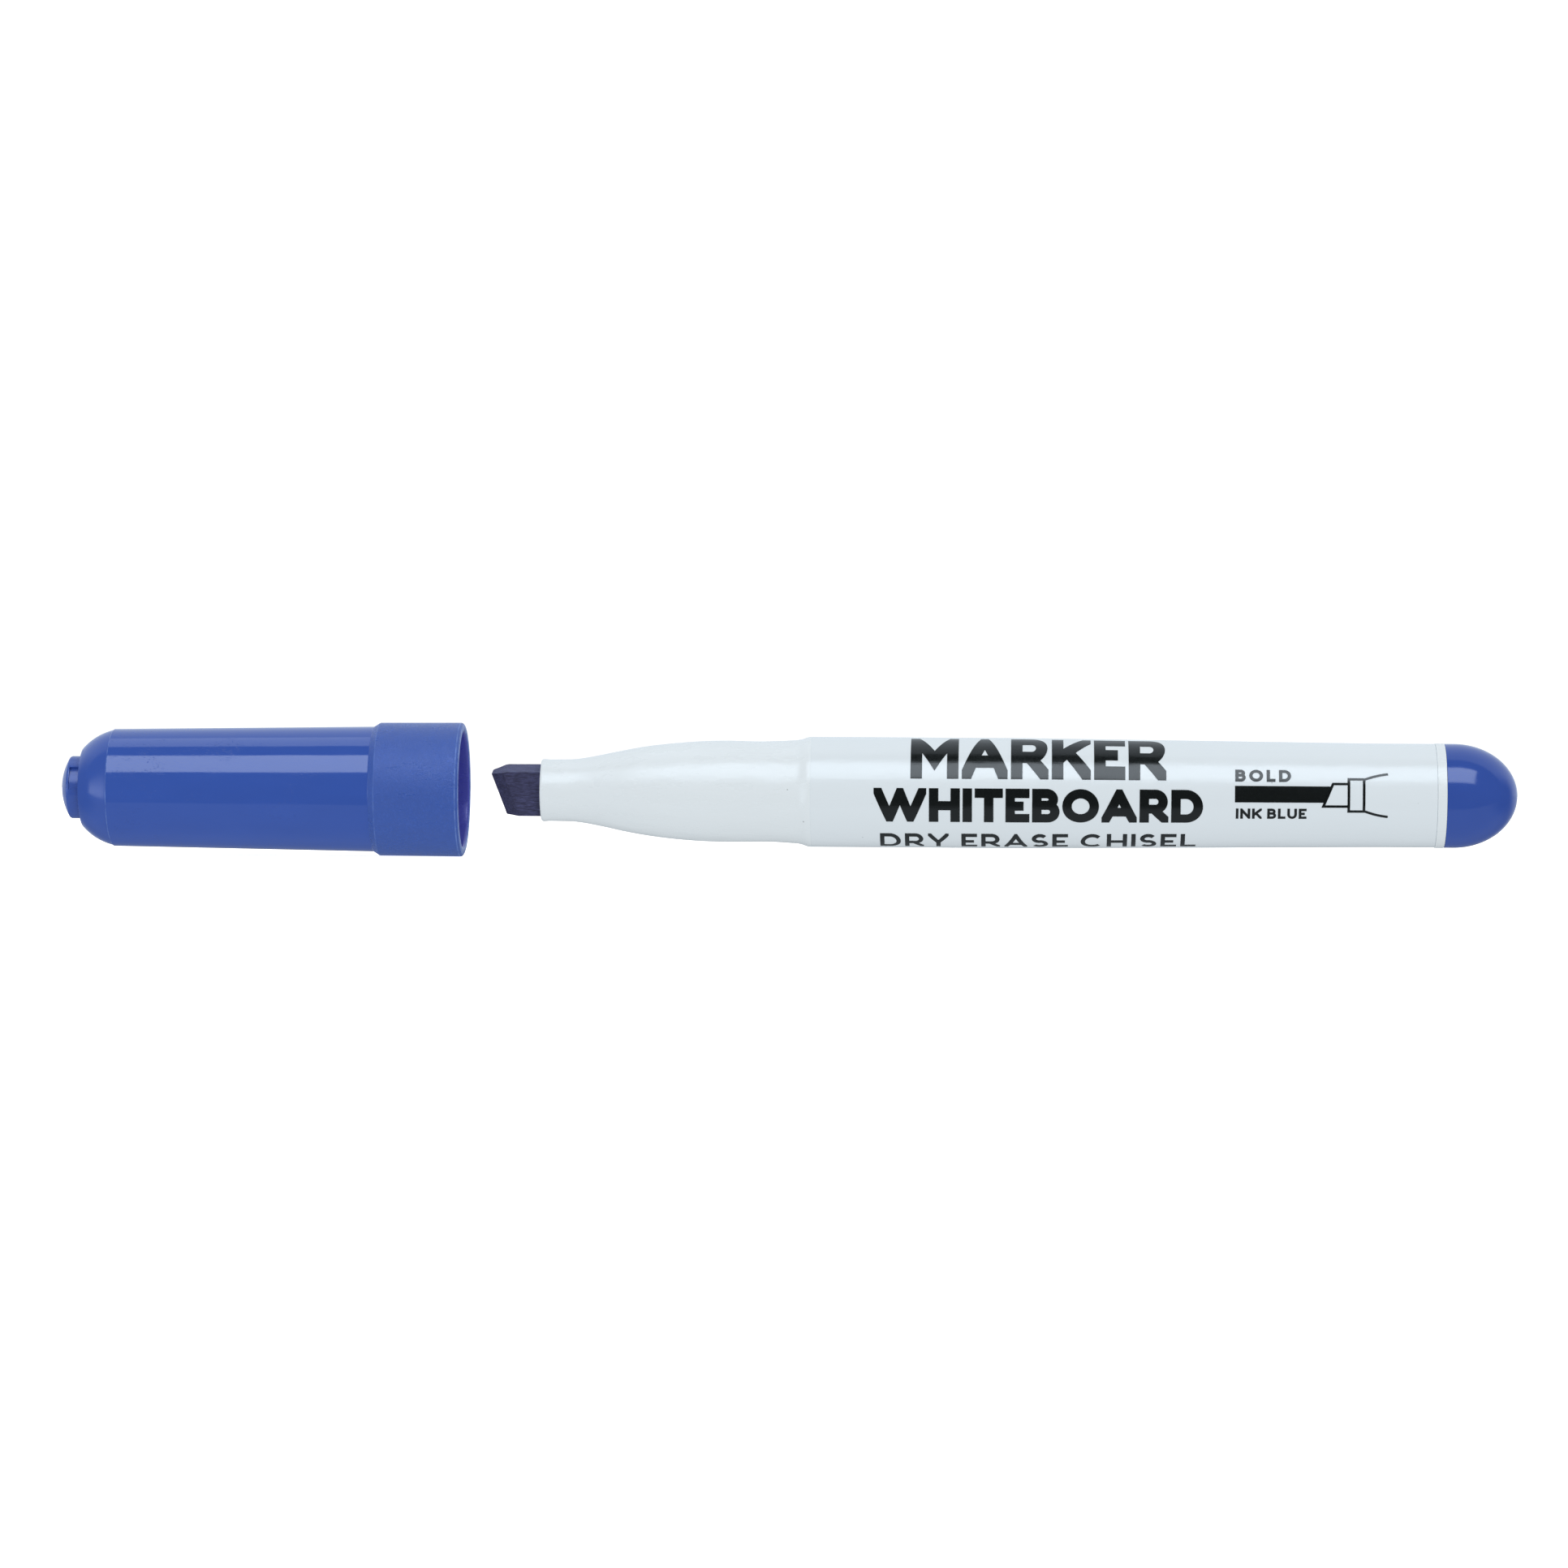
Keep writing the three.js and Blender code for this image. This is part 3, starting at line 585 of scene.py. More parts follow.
def liner_inside():
    """From the fins round the liner's mouth, and along its bore into the nose."""
    bore = rounded([(FIN_X[1] + EDGE_GAP, LINER_RADIUS), (LINER_MOUTH, LINER_RADIUS, 0.1),
                    (LINER_MOUTH, LINER_MOUTH_RADIUS, 0.1),
                    (LINER_MOUTH - LINER_FLARE, LINER_BORE_RADIUS, 0.2),
                    (LINER_BORE_END, LINER_BORE_RADIUS, 0.3),
                    (LINER_BORE_END - LINER_NECKING, LINER_NECK_RADIUS, 0.3),
                    (NOSE_END + NOSE_WALL + NOSE_BORE_ROUNDING, NOSE_BORE_RADIUS)])
    bore_end = (NOSE_END + NOSE_WALL, 0.0)
    end = curve(bore[-1], (bore_end[0], NOSE_BORE_BULGE), bore_end, steps=8)
    return bore[1:] + end[1:] + [bore_end]


liner_angles = sorted(even_angles() | beside(VENTS, (-1, 1, VENT_SPLIT), VENT_HALF, 0.004)
                      | beside(FINS, (-1, 1), FIN_HALF, 0.003))
liner = turned("inner_cap_skin", liner_outside() + liner_inside(), MOUTH_X, "cap", liner_shape,
               liner_angles, closed=False)
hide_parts("inner_cap")
liner.data.materials.append(liner_blue)

# ---- barrel, with x from the front of its neck ----
NIB_HEIGHT, NIB_THICKNESS, NIB_CORNER = 5.9, 4.4, 0.5
NIB_ROLL = math.radians(14.5)
SLOT_CLEARANCE, SLOT_FLARE = 0.08, 0.12  # the slot flares at the front of the neck
SLOT = -1.0  # stands in a profile for the slot's wall, which slot_radius gives
NIB_GUIDE = 8.5  # length of the slot
FILM_UNDER = 0.11
REAR_RADIUS = 6.69
TAPER = (62.2, 108.2)
NECK_LENGTH, NECK_FLARE_RADIUS = 3.8, 4.04
NECK_FRONT = [(0.0, 3.78), (0.02, 3.9), (0.06, 3.97), (0.14, 4.03)]  # its rounded edge
NECK_BEAD = [(0.26, 4.06), (0.42, 4.06), (0.6, 4.05), (0.8, 4.02), (1.1, 4.01), (1.6, 4.01)]
GRIP_START, GRIP_RADIUS = 24.0, 6.57
WAIST, WAIST_RADIUS = 28.2, 6.52
SHOULDER_START, SHOULDER_START_RADIUS, SHOULDER_END = 33.0, 6.68, 34.9
REAR_LIP_RADIUS, REAR_RIDGE_RADIUS = 6.74, 6.71
BORE_RADIUS, BORE_STOP, BORE_STOP_BEVEL, BORE_STOP_RADIUS = 5.62, 27.0, 0.6, 5.32
GRIP_BORE, GRIP_BORE_RADIUS, GUIDE_FLARE, GUIDE_BORE_RADIUS = 20.0, 5.0, 2.5, 4.0


def slot_radius(a):
    """Distance from the axis to the nib slot's wall. The slot is a rolled, rounded rectangle."""
    local = a - math.pi / 2 - NIB_ROLL  # from the slot's long axis
    corner = NIB_CORNER + SLOT_CLEARANCE
    h, w = NIB_HEIGHT / 2 + SLOT_CLEARANCE, NIB_THICKNESS / 2 + SLOT_CLEARANCE
    dx, dy = abs(math.cos(local)), abs(math.sin(local))
    flat = min(h / max(dx, ON_AXIS), w / max(dy, ON_AXIS))
    cx, cy = h - corner, w - corner
    if flat * dx > cx and flat * dy > cy:
        b = dx * cx + dy * cy
        return b + math.sqrt(max(0.0, b * b - (cx * cx + cy * cy - corner * corner)))
    return flat


def film_radius(x):
    """The film's outer radius along the barrel."""
    t = (x - TAPER[0]) / (TAPER[1] - TAPER[0])
    return FILM_RADIUS + (REAR_RADIUS - FILM_RADIUS) * min(1.0, max(0.0, t))


def neck_outline():
    """From the neck's front face, over its bead, to the start of the flare."""
    start = (2.2, NECK_FLARE_RADIUS - 0.02)
    return ([(0.0, SLOT)] + NECK_FRONT + NECK_BEAD
            + line(start, (NECK_LENGTH, NECK_FLARE_RADIUS), 0.5))


def grip_outline():
    """The long curve of the grip, its slight waist and the rise to the shoulder."""
    grip, waist = (GRIP_START, GRIP_RADIUS), (WAIST, WAIST_RADIUS)
    rise, shoulder = (SHOULDER_START, SHOULDER_START_RADIUS), (SHOULDER_END, FILM_RADIUS - 0.01)
    return (curve((NECK_LENGTH, NECK_FLARE_RADIUS), (8.2, 4.3), (12.3, 6.45), grip, steps=40)
            + curve(grip, (25.5, 6.585), (27.0, 6.53), waist, steps=8)
            + curve(waist, (30.0, 6.505), (31.6, 6.58), rise, steps=8)
            + curve(rise, (34.0, 6.76), (34.3, 7.12), shoulder, steps=12))


def rear_outline():
    """Under the film, over the ridge behind it and into the ink chamber."""
    under = REAR_RADIUS - FILM_UNDER
    shoulder = [(SHOULDER_END + 0.05, FILM_RADIUS - 0.003), (FILM_START, FILM_RADIUS - 0.01),
                (FILM_START + 0.04, FILM_RADIUS - FILM_UNDER)]
    start = FILM_START + 0.35
    steps = [start + (FILM_END - FILM_START) * i / 24 for i in range(24)]
    rear = rounded([(FILM_END - 0.4, under), (FILM_END + 0.01, under),
                    (FILM_END + 0.02, REAR_RIDGE_RADIUS, 0.02), (FILM_END + 0.2, REAR_LIP_RADIUS, 0.1),
                    (SEAM_X, REAR_LIP_RADIUS, 0.08), (SEAM_X, BORE_RADIUS)])
    return shoulder + [(x, film_radius(x) - FILM_UNDER) for x in steps] + rear


barrel_bore = [(BORE_STOP, BORE_RADIUS), (BORE_STOP - BORE_STOP_BEVEL, BORE_STOP_RADIUS),
               (GRIP_BORE, GRIP_BORE_RADIUS), (NIB_GUIDE + GUIDE_FLARE, GUIDE_BORE_RADIUS),
               (NIB_GUIDE, SLOT), (4.0, SLOT), (0.4, SLOT), (0.1, SLOT)]
SINK_DEPTH, SINK_FULL, SINK_END = 0.03, 8, 34  # the sink waves grow to full depth, and end
SINK_RADIUS = 3.85  # the front face, inside this, has none


def barrel_shape(x, r, a):
    """Opens the nib's slot, and gives the neck and grip their sink waves."""
    if r == SLOT:
        return x, slot_radius(a) + (SLOT_FLARE if x == 0.0 else 0.0)
    if x < SINK_END and r > SINK_RADIUS:
        waves = wave(x, a, 5.0, 1.0) + 0.6 * wave(x, a, 2.4, 5.0)
        return x, r + SINK_DEPTH * min(1.0, x / SINK_FULL) * waves - 0.01
    return x, r


barrel_profile = neck_outline() + grip_outline() + rear_outline() + barrel_bore
barrel_skin = turned("barrel_skin", barrel_profile, NECK_X, "body", barrel_shape)
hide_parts("barrel")
barrel_skin.data.materials.append(barrel_white)

# ---- printed film ----
FILM_THICK, FILM_EDGE = 0.08, 0.02  # the edge is rounded off by that much
OVERLAP, OVERLAP_LIFT = (math.radians(196), math.radians(222)), 0.07
film_steps = [FILM_START + (FILM_END - FILM_START) * i / 90 for i in range(1, 90)]
film_profile = (
    [(FILM_START, FILM_RADIUS - FILM_THICK), (FILM_START, FILM_RADIUS - FILM_EDGE),
     (FILM_START + FILM_EDGE, FILM_RADIUS)]
    + [(x, film_radius(x)) for x in film_steps]
    + [(FILM_END - FILM_EDGE, REAR_RADIUS), (FILM_END, REAR_RADIUS - FILM_EDGE),
       (FILM_END, REAR_RADIUS - FILM_THICK)]
    + [(x, film_radius(x) - FILM_THICK) for x in reversed(film_steps)]
)


def film_shape(x, r, a):
    """The film's rear edge is cut a little unevenly, and its ends overlap at the back."""
    if x > FILM_END - 0.05:
        x -= 0.01 + 0.01 * ring_noise(a, 4, 1.0)
    outside = r > film_radius(x) - FILM_THICK / 2
    if outside and OVERLAP[0] < a < OVERLAP[1]:
        r += OVERLAP_LIFT
    elif outside:
        r += 0.008 * (wave(x, a, 9.0, 3.0) - 1)
    return x, r


film_angles = sorted(even_angles() | beside(OVERLAP, (1,), 0.0, 0.0015))
film = turned("label_film_skin", film_profile, NECK_X, "body", film_shape, film_angles)
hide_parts("label_film")
film.data.materials.append(film_white)

# ---- end plug ----
DOME_LENGTH, DOME_WALL = 8.2, 1.3
SKIRT_LENGTH, SKIRT_RADIUS, SKIRT_BORE = 5.5, 5.54, 4.6
SKIRT_LEAD, SKIRT_LEAD_RADIUS = 0.5, 5.3  # the skirt's end is bevelled to slide in
PLUG_GAP = 0.02  # between the barrel's rear end and the plug's rim
DOME_START = SEAM_X + PLUG_REACH - DOME_LENGTH
plug_profile = (
    rounded([(SEAM_X - SKIRT_LENGTH, SKIRT_BORE), (SEAM_X - SKIRT_LENGTH, SKIRT_LEAD_RADIUS, 0.1),
             (SEAM_X - SKIRT_LENGTH + SKIRT_LEAD, SKIRT_RADIUS, 0.2),
             (SEAM_X + PLUG_GAP, SKIRT_RADIUS), (SEAM_X + PLUG_GAP, PLUG_RADIUS, 0.05),
             (DOME_START - 0.2, PLUG_RADIUS)])
    + [(DOME_START + DOME_LENGTH * math.sin(t), PLUG_RADIUS * math.cos(t)) for t in quarter(36)[:-1]]
    + [(DOME_START + DOME_LENGTH, 0.0)]
    + [(DOME_START + (DOME_LENGTH - DOME_WALL) * math.cos(t), SKIRT_BORE * math.sin(t))
       for t in quarter(14)]
)
plug = turned("end_plug_skin", plug_profile, NECK_X, "body")
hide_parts("end_plug")
plug.data.materials.append(plug_gloss)

# ---- nib, with x from its tip ----
CHISEL_SETBACK, TIP_HEIGHT, TIP_SLOPE_LENGTH = 1.9, 2.4, 2.0
CHISEL_EDGE, CHISEL_BEVEL = 2.1, 1.66
NIB_LENGTH = 38.0
CORNER_SHARE, TIP_ROUNDING = 0.8, 0.07
RELIEF_END = 9.2  # the fibre relief ends inside the barrel
RELIEF_SLICE, RELIEF_CELL = 0.22, 0.2  # spacing of the cuts along and across the nib
RIDGE_HEIGHT, PIT_DEPTH = 0.022, 0.012
ALIGNED, SHARP_TURN, SHORT_EDGE = 0.999, 0.35, 0.3  # these decide which edges are rounded
ALONG, ACROSS, UP = Vector((1, 0, 0)), Vector((0, 1, 0)), Vector((0, 0, 1))


def round_edges(bm, edges, size, segments):
    bmesh.ops.bevel(bm, geom=edges, offset=size, segments=segments, profile=0.5,
                    affect="EDGES", clamp_overlap=True)


def cut_chisel(bm):
    """Cuts the block's front end to its slanted writing face, two bevels and a sloping top."""
    slant = math.atan(CHISEL_SETBACK / (TIP_HEIGHT + NIB_HEIGHT / 2))
    turn = Matrix.Rotation(-slant, 4, "Y")  # tips the edge back towards the heel
    apex = TIP_HEIGHT * UP
    slope = math.atan((NIB_THICKNESS - CHISEL_EDGE) / 2 / CHISEL_BEVEL)
    cuts = [(apex, turn @ -ALONG)]
    for side in (1, -1):
        outward = Vector((-math.sin(slope), side * math.cos(slope), 0))
        cuts.append((apex + turn @ (side * CHISEL_EDGE / 2 * ACROSS), turn @ outward))
    cuts.append((apex, Vector((TIP_HEIGHT - NIB_HEIGHT / 2, 0, TIP_SLOPE_LENGTH))))
    for point, outward in cuts:
        made = cut(bm, point, outward.normalized(), clear=True)
        edges = [e for e in made["geom_cut"] if isinstance(e, bmesh.types.BMEdge)]
        bmesh.ops.edgeloop_fill(bm, edges=edges)


def add_fibre_relief(bm):
    """Divides the block and moves its surface in and out along streaks and pits."""
    slices = [(RELIEF_SLICE * i * ALONG, ALONG) for i in range(1, 42)]
    slices += [((RELIEF_CELL * i - NIB_THICKNESS / 2) * ACROSS, ACROSS) for i in range(1, 22)]
    slices += [((RELIEF_CELL * i - NIB_HEIGHT / 2) * UP, UP) for i in range(1, 29)]
    for point, direction in slices:
        cut(bm, point, direction)
    bm.normal_update()
    moves = []
    for v in bm.verts:
        x, y, z = v.co
        if 0.02 < x < RELIEF_END:
            ridge = noise.noise(Vector((x * 0.5, y * 3.2, z * 3.2)))
            pit = noise.noise(Vector((x * 2.4, y * 4.0 + 7, z * 4.0)))
            moves.append((v, v.normal * (RIDGE_HEIGHT * (ridge - 1) + PIT_DEPTH * pit)))
    for v, move in moves:
        v.co += move


def nib_mesh():
    """A chisel block cut by planes, rounded along its edges, with fibre relief. In millimetres."""
    bm = bmesh.new()
    bmesh.ops.create_cube(bm, size=1.0)
    scale = Matrix.Diagonal((NIB_LENGTH, NIB_THICKNESS, NIB_HEIGHT, 1.0))
    bmesh.ops.transform(bm, matrix=Matrix.Translation(NIB_LENGTH / 2 * ALONG) @ scale, verts=bm.verts)
    cut_chisel(bm)
    lengthways = [e for e in bm.edges
                  if abs((e.verts[0].co - e.verts[1].co).normalized().x) > ALIGNED]
    round_edges(bm, lengthways, NIB_CORNER * CORNER_SHARE, segments=4)
    sharp = [e for e in bm.edges if len(e.link_faces) == 2
             and e.calc_face_angle() > SHARP_TURN and e.calc_length() > SHORT_EDGE]
    round_edges(bm, sharp, TIP_ROUNDING, segments=2)
    add_fibre_relief(bm)
    return bm


nib_bm = nib_mesh()
nib_bm.transform(Matrix.Translation((NIB_TIP * MM, 0, AXIS_Z * MM))
                 @ Matrix.Rotation(NIB_ROLL, 4, "X") @ Matrix.Scale(MM, 4))
nib = smooth_object("nib_block", nib_bm, "body")
nib.data.materials.append(nib_fibre)
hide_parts("nib")

# ---- the hidden ink reservoir keeps its CAD shape ----
for node, material in (("reservoir_core", core_fibre), ("reservoir_sheath", sheath_clear)):
    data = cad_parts[node].data
    data.materials.clear()
    data.materials.append(material)

# ---- generic print, as thin closed meshes wrapped on the film ----
PRINT_BACK, PRINT_FRONT = 0.008, 0.026  # height of the print's two faces above the film
WRAP_STEP, WRAP_REACH = 0.25, 40  # the flat print is divided at that many steps either way
TAPER_STEP, TAPER_STEPS = 1.5, 30


def arc_length(degrees):
    """Arc length on the film of that angle above the front."""
    return math.radians(degrees) * FILM_RADIUS


def wrap(name, bm):
    """Bends a flat mesh of (x from the neck, arc length above the front, 0) onto the film."""
    for i in range(-WRAP_REACH, WRAP_REACH + 1):
        cut(bm, (0, WRAP_STEP * i, 0), (0, 1, 0))
    for x in (*TAPER, *[TAPER[0] + TAPER_STEP * i for i in range(1, TAPER_STEPS + 1)]):
        cut(bm, (x, 0, 0), (1, 0, 0))
    for f in bm.faces:
        if f.normal.z < 0:
            f.normal_flip()
    raised = bmesh.ops.extrude_face_region(bm, geom=bm.faces[:])
    front = {v for v in raised["geom"] if isinstance(v, bmesh.types.BMVert)}
    for v in bm.verts:
        x, a = v.co.x, v.co.y / FILM_RADIUS
        r = film_radius(x) + (PRINT_FRONT if v in front else PRINT_BACK)
        v.co = Vector((NECK_X + x, -r * math.cos(a), AXIS_Z + r * math.sin(a))) * MM
    bmesh.ops.recalc_face_normals(bm, faces=bm.faces)
    mesh = finished_mesh(name, bm)
    mesh.materials.append(ink_black)
    obj = scene_object(name, mesh)
    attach(obj, "body")


def stroke_sides(points, width, closed):
    """The two sides of a mitred stroke along the points: left and right of each in turn."""
    n = len(points)
    sides = []
    for i, p in enumerate(points):
        before = points[i - 1] if closed or i else None
        after = points[(i + 1) % n] if closed or i < n - 1 else None
        d1 = (p - before).normalized() if before is not None else (after - p).normalized()
        d2 = (after - p).normalized() if after is not None else d1
        across = Vector((-d1.y - d2.y, d1.x + d2.x)).normalized()
        reach = width / 2 / max(0.2, across.dot(Vector((-d1.y, d1.x))))
        sides += [p + across * reach, p - across * reach]
    return sides


def strips(first, count, closed):
    """The corners of a stroke's strips, where its sides are numbered from first."""
    out = []
    for i in range(count if closed else count - 1):
        j = (i + 1) % count
        out.append([first + 2 * i, first + 2 * i + 1, first + 2 * j + 1, first + 2 * j])
    return out


def ellipse(cx, cy, rx, ry, start, end, steps=18):
    """Points on an ellipse between two angles in degrees."""
    turns = [math.radians(start + (end - start) * i / steps) for i in range(steps + 1)]
    return [(cx + rx * math.cos(t), cy + ry * math.sin(t)) for t in turns]


STEM = [(0, 0), (0, 1)]
RIGHT_STEM = [(1, 0), (1, 1)]
# Each letter: its width over its height, then its strokes' centre lines in a unit box.
LETTERS = {
    "A": (1.0, [[(0, 0), (0.5, 1), (1, 0)], [(0.2, 0.27), (0.8, 0.27)]]),
    "B": (0.78, [STEM, [(0, 1)] + ellipse(0.55, 0.77, 0.36, 0.23, 90, -90) + [(0, 0.54)],
                 [(0, 0.54)] + ellipse(0.6, 0.27, 0.4, 0.27, 90, -90) + [(0, 0)]]),
    "C": (0.95, [ellipse(0.54, 0.5, 0.54, 0.5, 47, 313, 30)]),
    "D": (0.9, [STEM, [(0, 1)] + ellipse(0.45, 0.5, 0.55, 0.5, 90, -90, 26) + [(0, 0)]]),
    "E": (0.68, [STEM, [(0, 1), (1, 1)], [(0, 0.5), (0.92, 0.5)], [(0, 0), (1, 0)]]),
    "H": (0.88, [STEM, RIGHT_STEM, [(0, 0.5), (1, 0.5)]]),
    "I": (0.0, [STEM]),
    "K": (0.85, [STEM, [(0, 0.33), (1, 1)], [(0.36, 0.57), (1, 0)]]),
    "L": (0.66, [STEM, [(0, 0), (1, 0)]]),
    "M": (1.05, [[(0, 0), (0, 1), (0.5, 0.3), (1, 1), (1, 0)]]),
    "N": (0.88, [[(0, 0), (0, 1), (1, 0), (1, 1)]]),
    "O": (1.04, [ellipse(0.5, 0.5, 0.5, 0.5, 0, 360, 48)[:-1]]),
    "R": (0.82, [STEM, [(0, 1)] + ellipse(0.58, 0.7, 0.38, 0.3, 90, -90) + [(0, 0.4)],
                 [(0.48, 0.4), (1, 0)]]),
    "S": (0.72, [ellipse(0.5, 0.75, 0.48, 0.25, 35, 260, 20)
                 + ellipse(0.5, 0.26, 0.5, 0.26, 80, -145, 20)]),
    "T": (0.8, [[(0, 1), (1, 1)], [(0.5, 0), (0.5, 1)]]),
    "U": (0.85, [[(0, 1)] + ellipse(0.5, 0.42, 0.5, 0.42, 180, 360, 24) + [(1, 1)]]),
    "W": (1.5, [[(0, 1), (0.26, 0), (0.5, 1), (0.74, 0), (1, 1)]]),
    "Y": (0.9, [[(0, 1), (0.5, 0.42), (1, 1)], [(0.5, 0), (0.5, 0.42)]]),
}
SPACE = 3.0  # a space is that many times as wide as the gap between two letters
CDT_FULL, CDT_TOLERANCE = 1, 1e-5  # fill the outlines, and merge points as near as that


def letter(char, left, width, height, weight):
    """The flat mesh of one letter on the line y = 0, with strokes of that weight."""
    points, outlines = [], []
    for stroke in LETTERS[char][1]:
        closed = char == "O"
        middle = [Vector((left + weight / 2 + u * (width - weight),
                          weight / 2 + v * (height - weight))) for u, v in stroke]
        if not closed:  # ends on the letter's edge run past it, and are then cut flush
            for end, inner in ((0, 1), (-1, -2)):
                if any(share in (0, 1) for share in stroke[end]):
                    middle[end] = middle[end] + (middle[end] - middle[inner]).normalized() * weight
        outlines += strips(len(points), len(middle), closed)
        points += stroke_sides(middle, weight, closed)
    filled = geometry.delaunay_2d_cdt(points, [], outlines, CDT_FULL, CDT_TOLERANCE)
    bm = bmesh.new()
    verts = [bm.verts.new((*co, 0)) for co in filled[0]]
    for tri, inside in zip(filled[2], filled[5]):
        if inside:
            bm.faces.new([verts[i] for i in tri])
    cut(bm, (left, 0, 0), (-1, 0, 0), clear=True)
    cut(bm, (left + width, 0, 0), (1, 0, 0), clear=True)
    cut(bm, (0, 0, 0), (0, -1, 0), clear=True)
    cut(bm, (0, height, 0), (0, 1, 0), clear=True)
    loose = [v for v in bm.verts if not v.link_faces]
    bmesh.ops.delete(bm, geom=loose, context="VERTS")
    return bm


def gap_after(text, i):
    """The gap after a letter, in letter gaps: none at the end or before a space."""
    if i == len(text) - 1 or text[i + 1] == " ":
        return 0.0
    return SPACE if text[i] == " " else 1.0


def words(name, text, x, degrees, weight, stretch=1.0):
    """Generic words that fill a rectangle of the film, between two x and two angles above the
    front. weight is the upright strokes' width, and stretch how much thicker level ones are."""
    low, high = (arc_length(d) for d in degrees)
    height = (high - low) / stretch
    widths = [0.0 if c == " " else max(weight, LETTERS[c][0] * height) for c in text]
    gaps = [gap_after(text, i) for i in range(len(text))]
    gap_width = (x[1] - x[0] - sum(widths)) / sum(gaps)
    left = x[0]
    whole = bmesh.new()
    for c, width, gap in zip(text, widths, gaps):
        if c != " ":
            mesh = finished_mesh("letter", letter(c, left, width, height, weight))
            whole.from_mesh(mesh)
            bpy.data.meshes.remove(mesh)
        left += width + gap_width * gap
    for v in whole.verts:
        v.co.y = low + v.co.y * stretch
    wrap(name, whole)


words("print_line_1", "MARKER", x=(47.9, 80.6), degrees=(14.5, 75.5), weight=1.47, stretch=1.3)
words("print_line_2", "WHITEBOARD", x=(43.2, 85.3), degrees=(-31.5, 4.6), weight=1.2)
words("print_line_3", "DRY ERASE CHISEL", x=(44.0, 84.5), degrees=(-74.5, -47.3), weight=0.55,
      stretch=1.15)
words("print_width", "BOLD", x=(89.4, 96.5), degrees=(14.0, 27.6), weight=0.42)
words("print_ink", "INK BLUE", x=(89.5, 98.5), degrees=(-26.6, -15.0), weight=0.33)


DRAWN_WEIGHT = 0.33  # width of the drawing's strokes


def on_film(points):
    """Points of (x from the neck, degrees above the front) as (x, arc length)."""
    return [(x, arc_length(degrees)) for x, degrees in points]


def ribbon(bm, points, closed=False):
    """Adds a stroke of the drawing's weight along points of (x, degrees)."""
    middle = [Vector(p) for p in on_film(points)]
    sides = [bm.verts.new((*p, 0)) for p in stroke_sides(middle, DRAWN_WEIGHT, closed)]
    for corners in strips(0, len(points), closed):
        bm.faces.new([sides[i] for i in corners])


# a bar that ends in the slant of a chisel, as a drawing of a line with this nib
BAR_LEFT, BAR_LOW, BAR_HIGH = 89.36, -8.3, 9.35
BAR_LOW_END, BAR_HIGH_END = 100.72, 101.6
bar = bmesh.new()
bar.faces.new([bar.verts.new((*p, 0)) for p in on_film(
    [(BAR_LEFT, BAR_LOW), (BAR_LOW_END, BAR_LOW), (BAR_HIGH_END, BAR_HIGH), (BAR_LEFT, BAR_HIGH)])])
wrap("print_bar", bar)

# the outline of a chisel nib, the block that holds it and the start of a barrel
TIP_LOW, TIP_HIGH = (100.62, -12.4), (101.85, 12.2)
TIP_END = 103.7
BLOCK_X, BLOCK_LOW, BLOCK_HIGH = (103.86, 105.8), -17.9, 17.6
BODY_START, BODY_LENGTH, BODY_FLARE, BODY_BULGE = 105.95, 2.9, 6.2, 4.8
icon = bmesh.new()
ribbon(icon, [(TIP_END, TIP_HIGH[1]), TIP_HIGH, TIP_LOW, (TIP_END, TIP_LOW[1])])
ribbon(icon, [(BLOCK_X[0], BLOCK_HIGH), (BLOCK_X[0], BLOCK_LOW),
              (BLOCK_X[1], BLOCK_LOW), (BLOCK_X[1], BLOCK_HIGH)], closed=True)
for away, start in ((1, BLOCK_HIGH), (-1, BLOCK_LOW)):
    body_end = (BODY_START + BODY_LENGTH, start + away * BODY_FLARE)
    bulge = (BODY_START + BODY_LENGTH / 2, start + away * BODY_BULGE)
    ribbon(icon, curve((BODY_START, start), bulge, body_end, steps=12) + [body_end])
wrap("print_icon", icon)

# ---- floor ----
FLOOR_HALF = 6.0  # metres
FLOOR_GLOW = 0.8
floor_bm = bmesh.new()
bmesh.ops.create_grid(floor_bm, x_segments=1, y_segments=1, size=FLOOR_HALF)
floor = scene_object("studio_floor", finished_mesh("studio_floor", floor_bm))
floor_mat = new_material("studio_floor_white")
Graph(floor_mat.node_tree).surface((0.9, 0.9, 0.9, 1.0), 0.9, None, Specular_IOR_Level=0.0,
                                   Emission_Color=(1, 1, 1, 1), Emission_Strength=FLOOR_GLOW)
floor.data.materials.append(floor_mat)
floor.visible_glossy = False
floor.visible_diffuse = False
floor.visible_shadow = False

# ---- studio light, as soft boxes in the world ----
world = bpy.data.worlds.new("studio_light")
bpy.context.scene.world = world
world.use_nodes = True
world.node_tree.nodes.clear()
g = Graph(world.node_tree)
x, y, z = g.split(g.add("ShaderNodeTexCoord").outputs["Generated"])
radial = g.math("SQRT", g.total(g.times(y, y), g.times(z, z)))
DEGREES = math.degrees(1)
# a direction's lift turns about X, from 0 in front over 90 above to 180 behind, and its side
# is how far it leans to the right
lift = g.times(g.math("ARCTAN2", z, g.times(y, -1.0)), DEGREES)
side = g.times(g.math("ARCTAN2", x, radial), DEGREES)

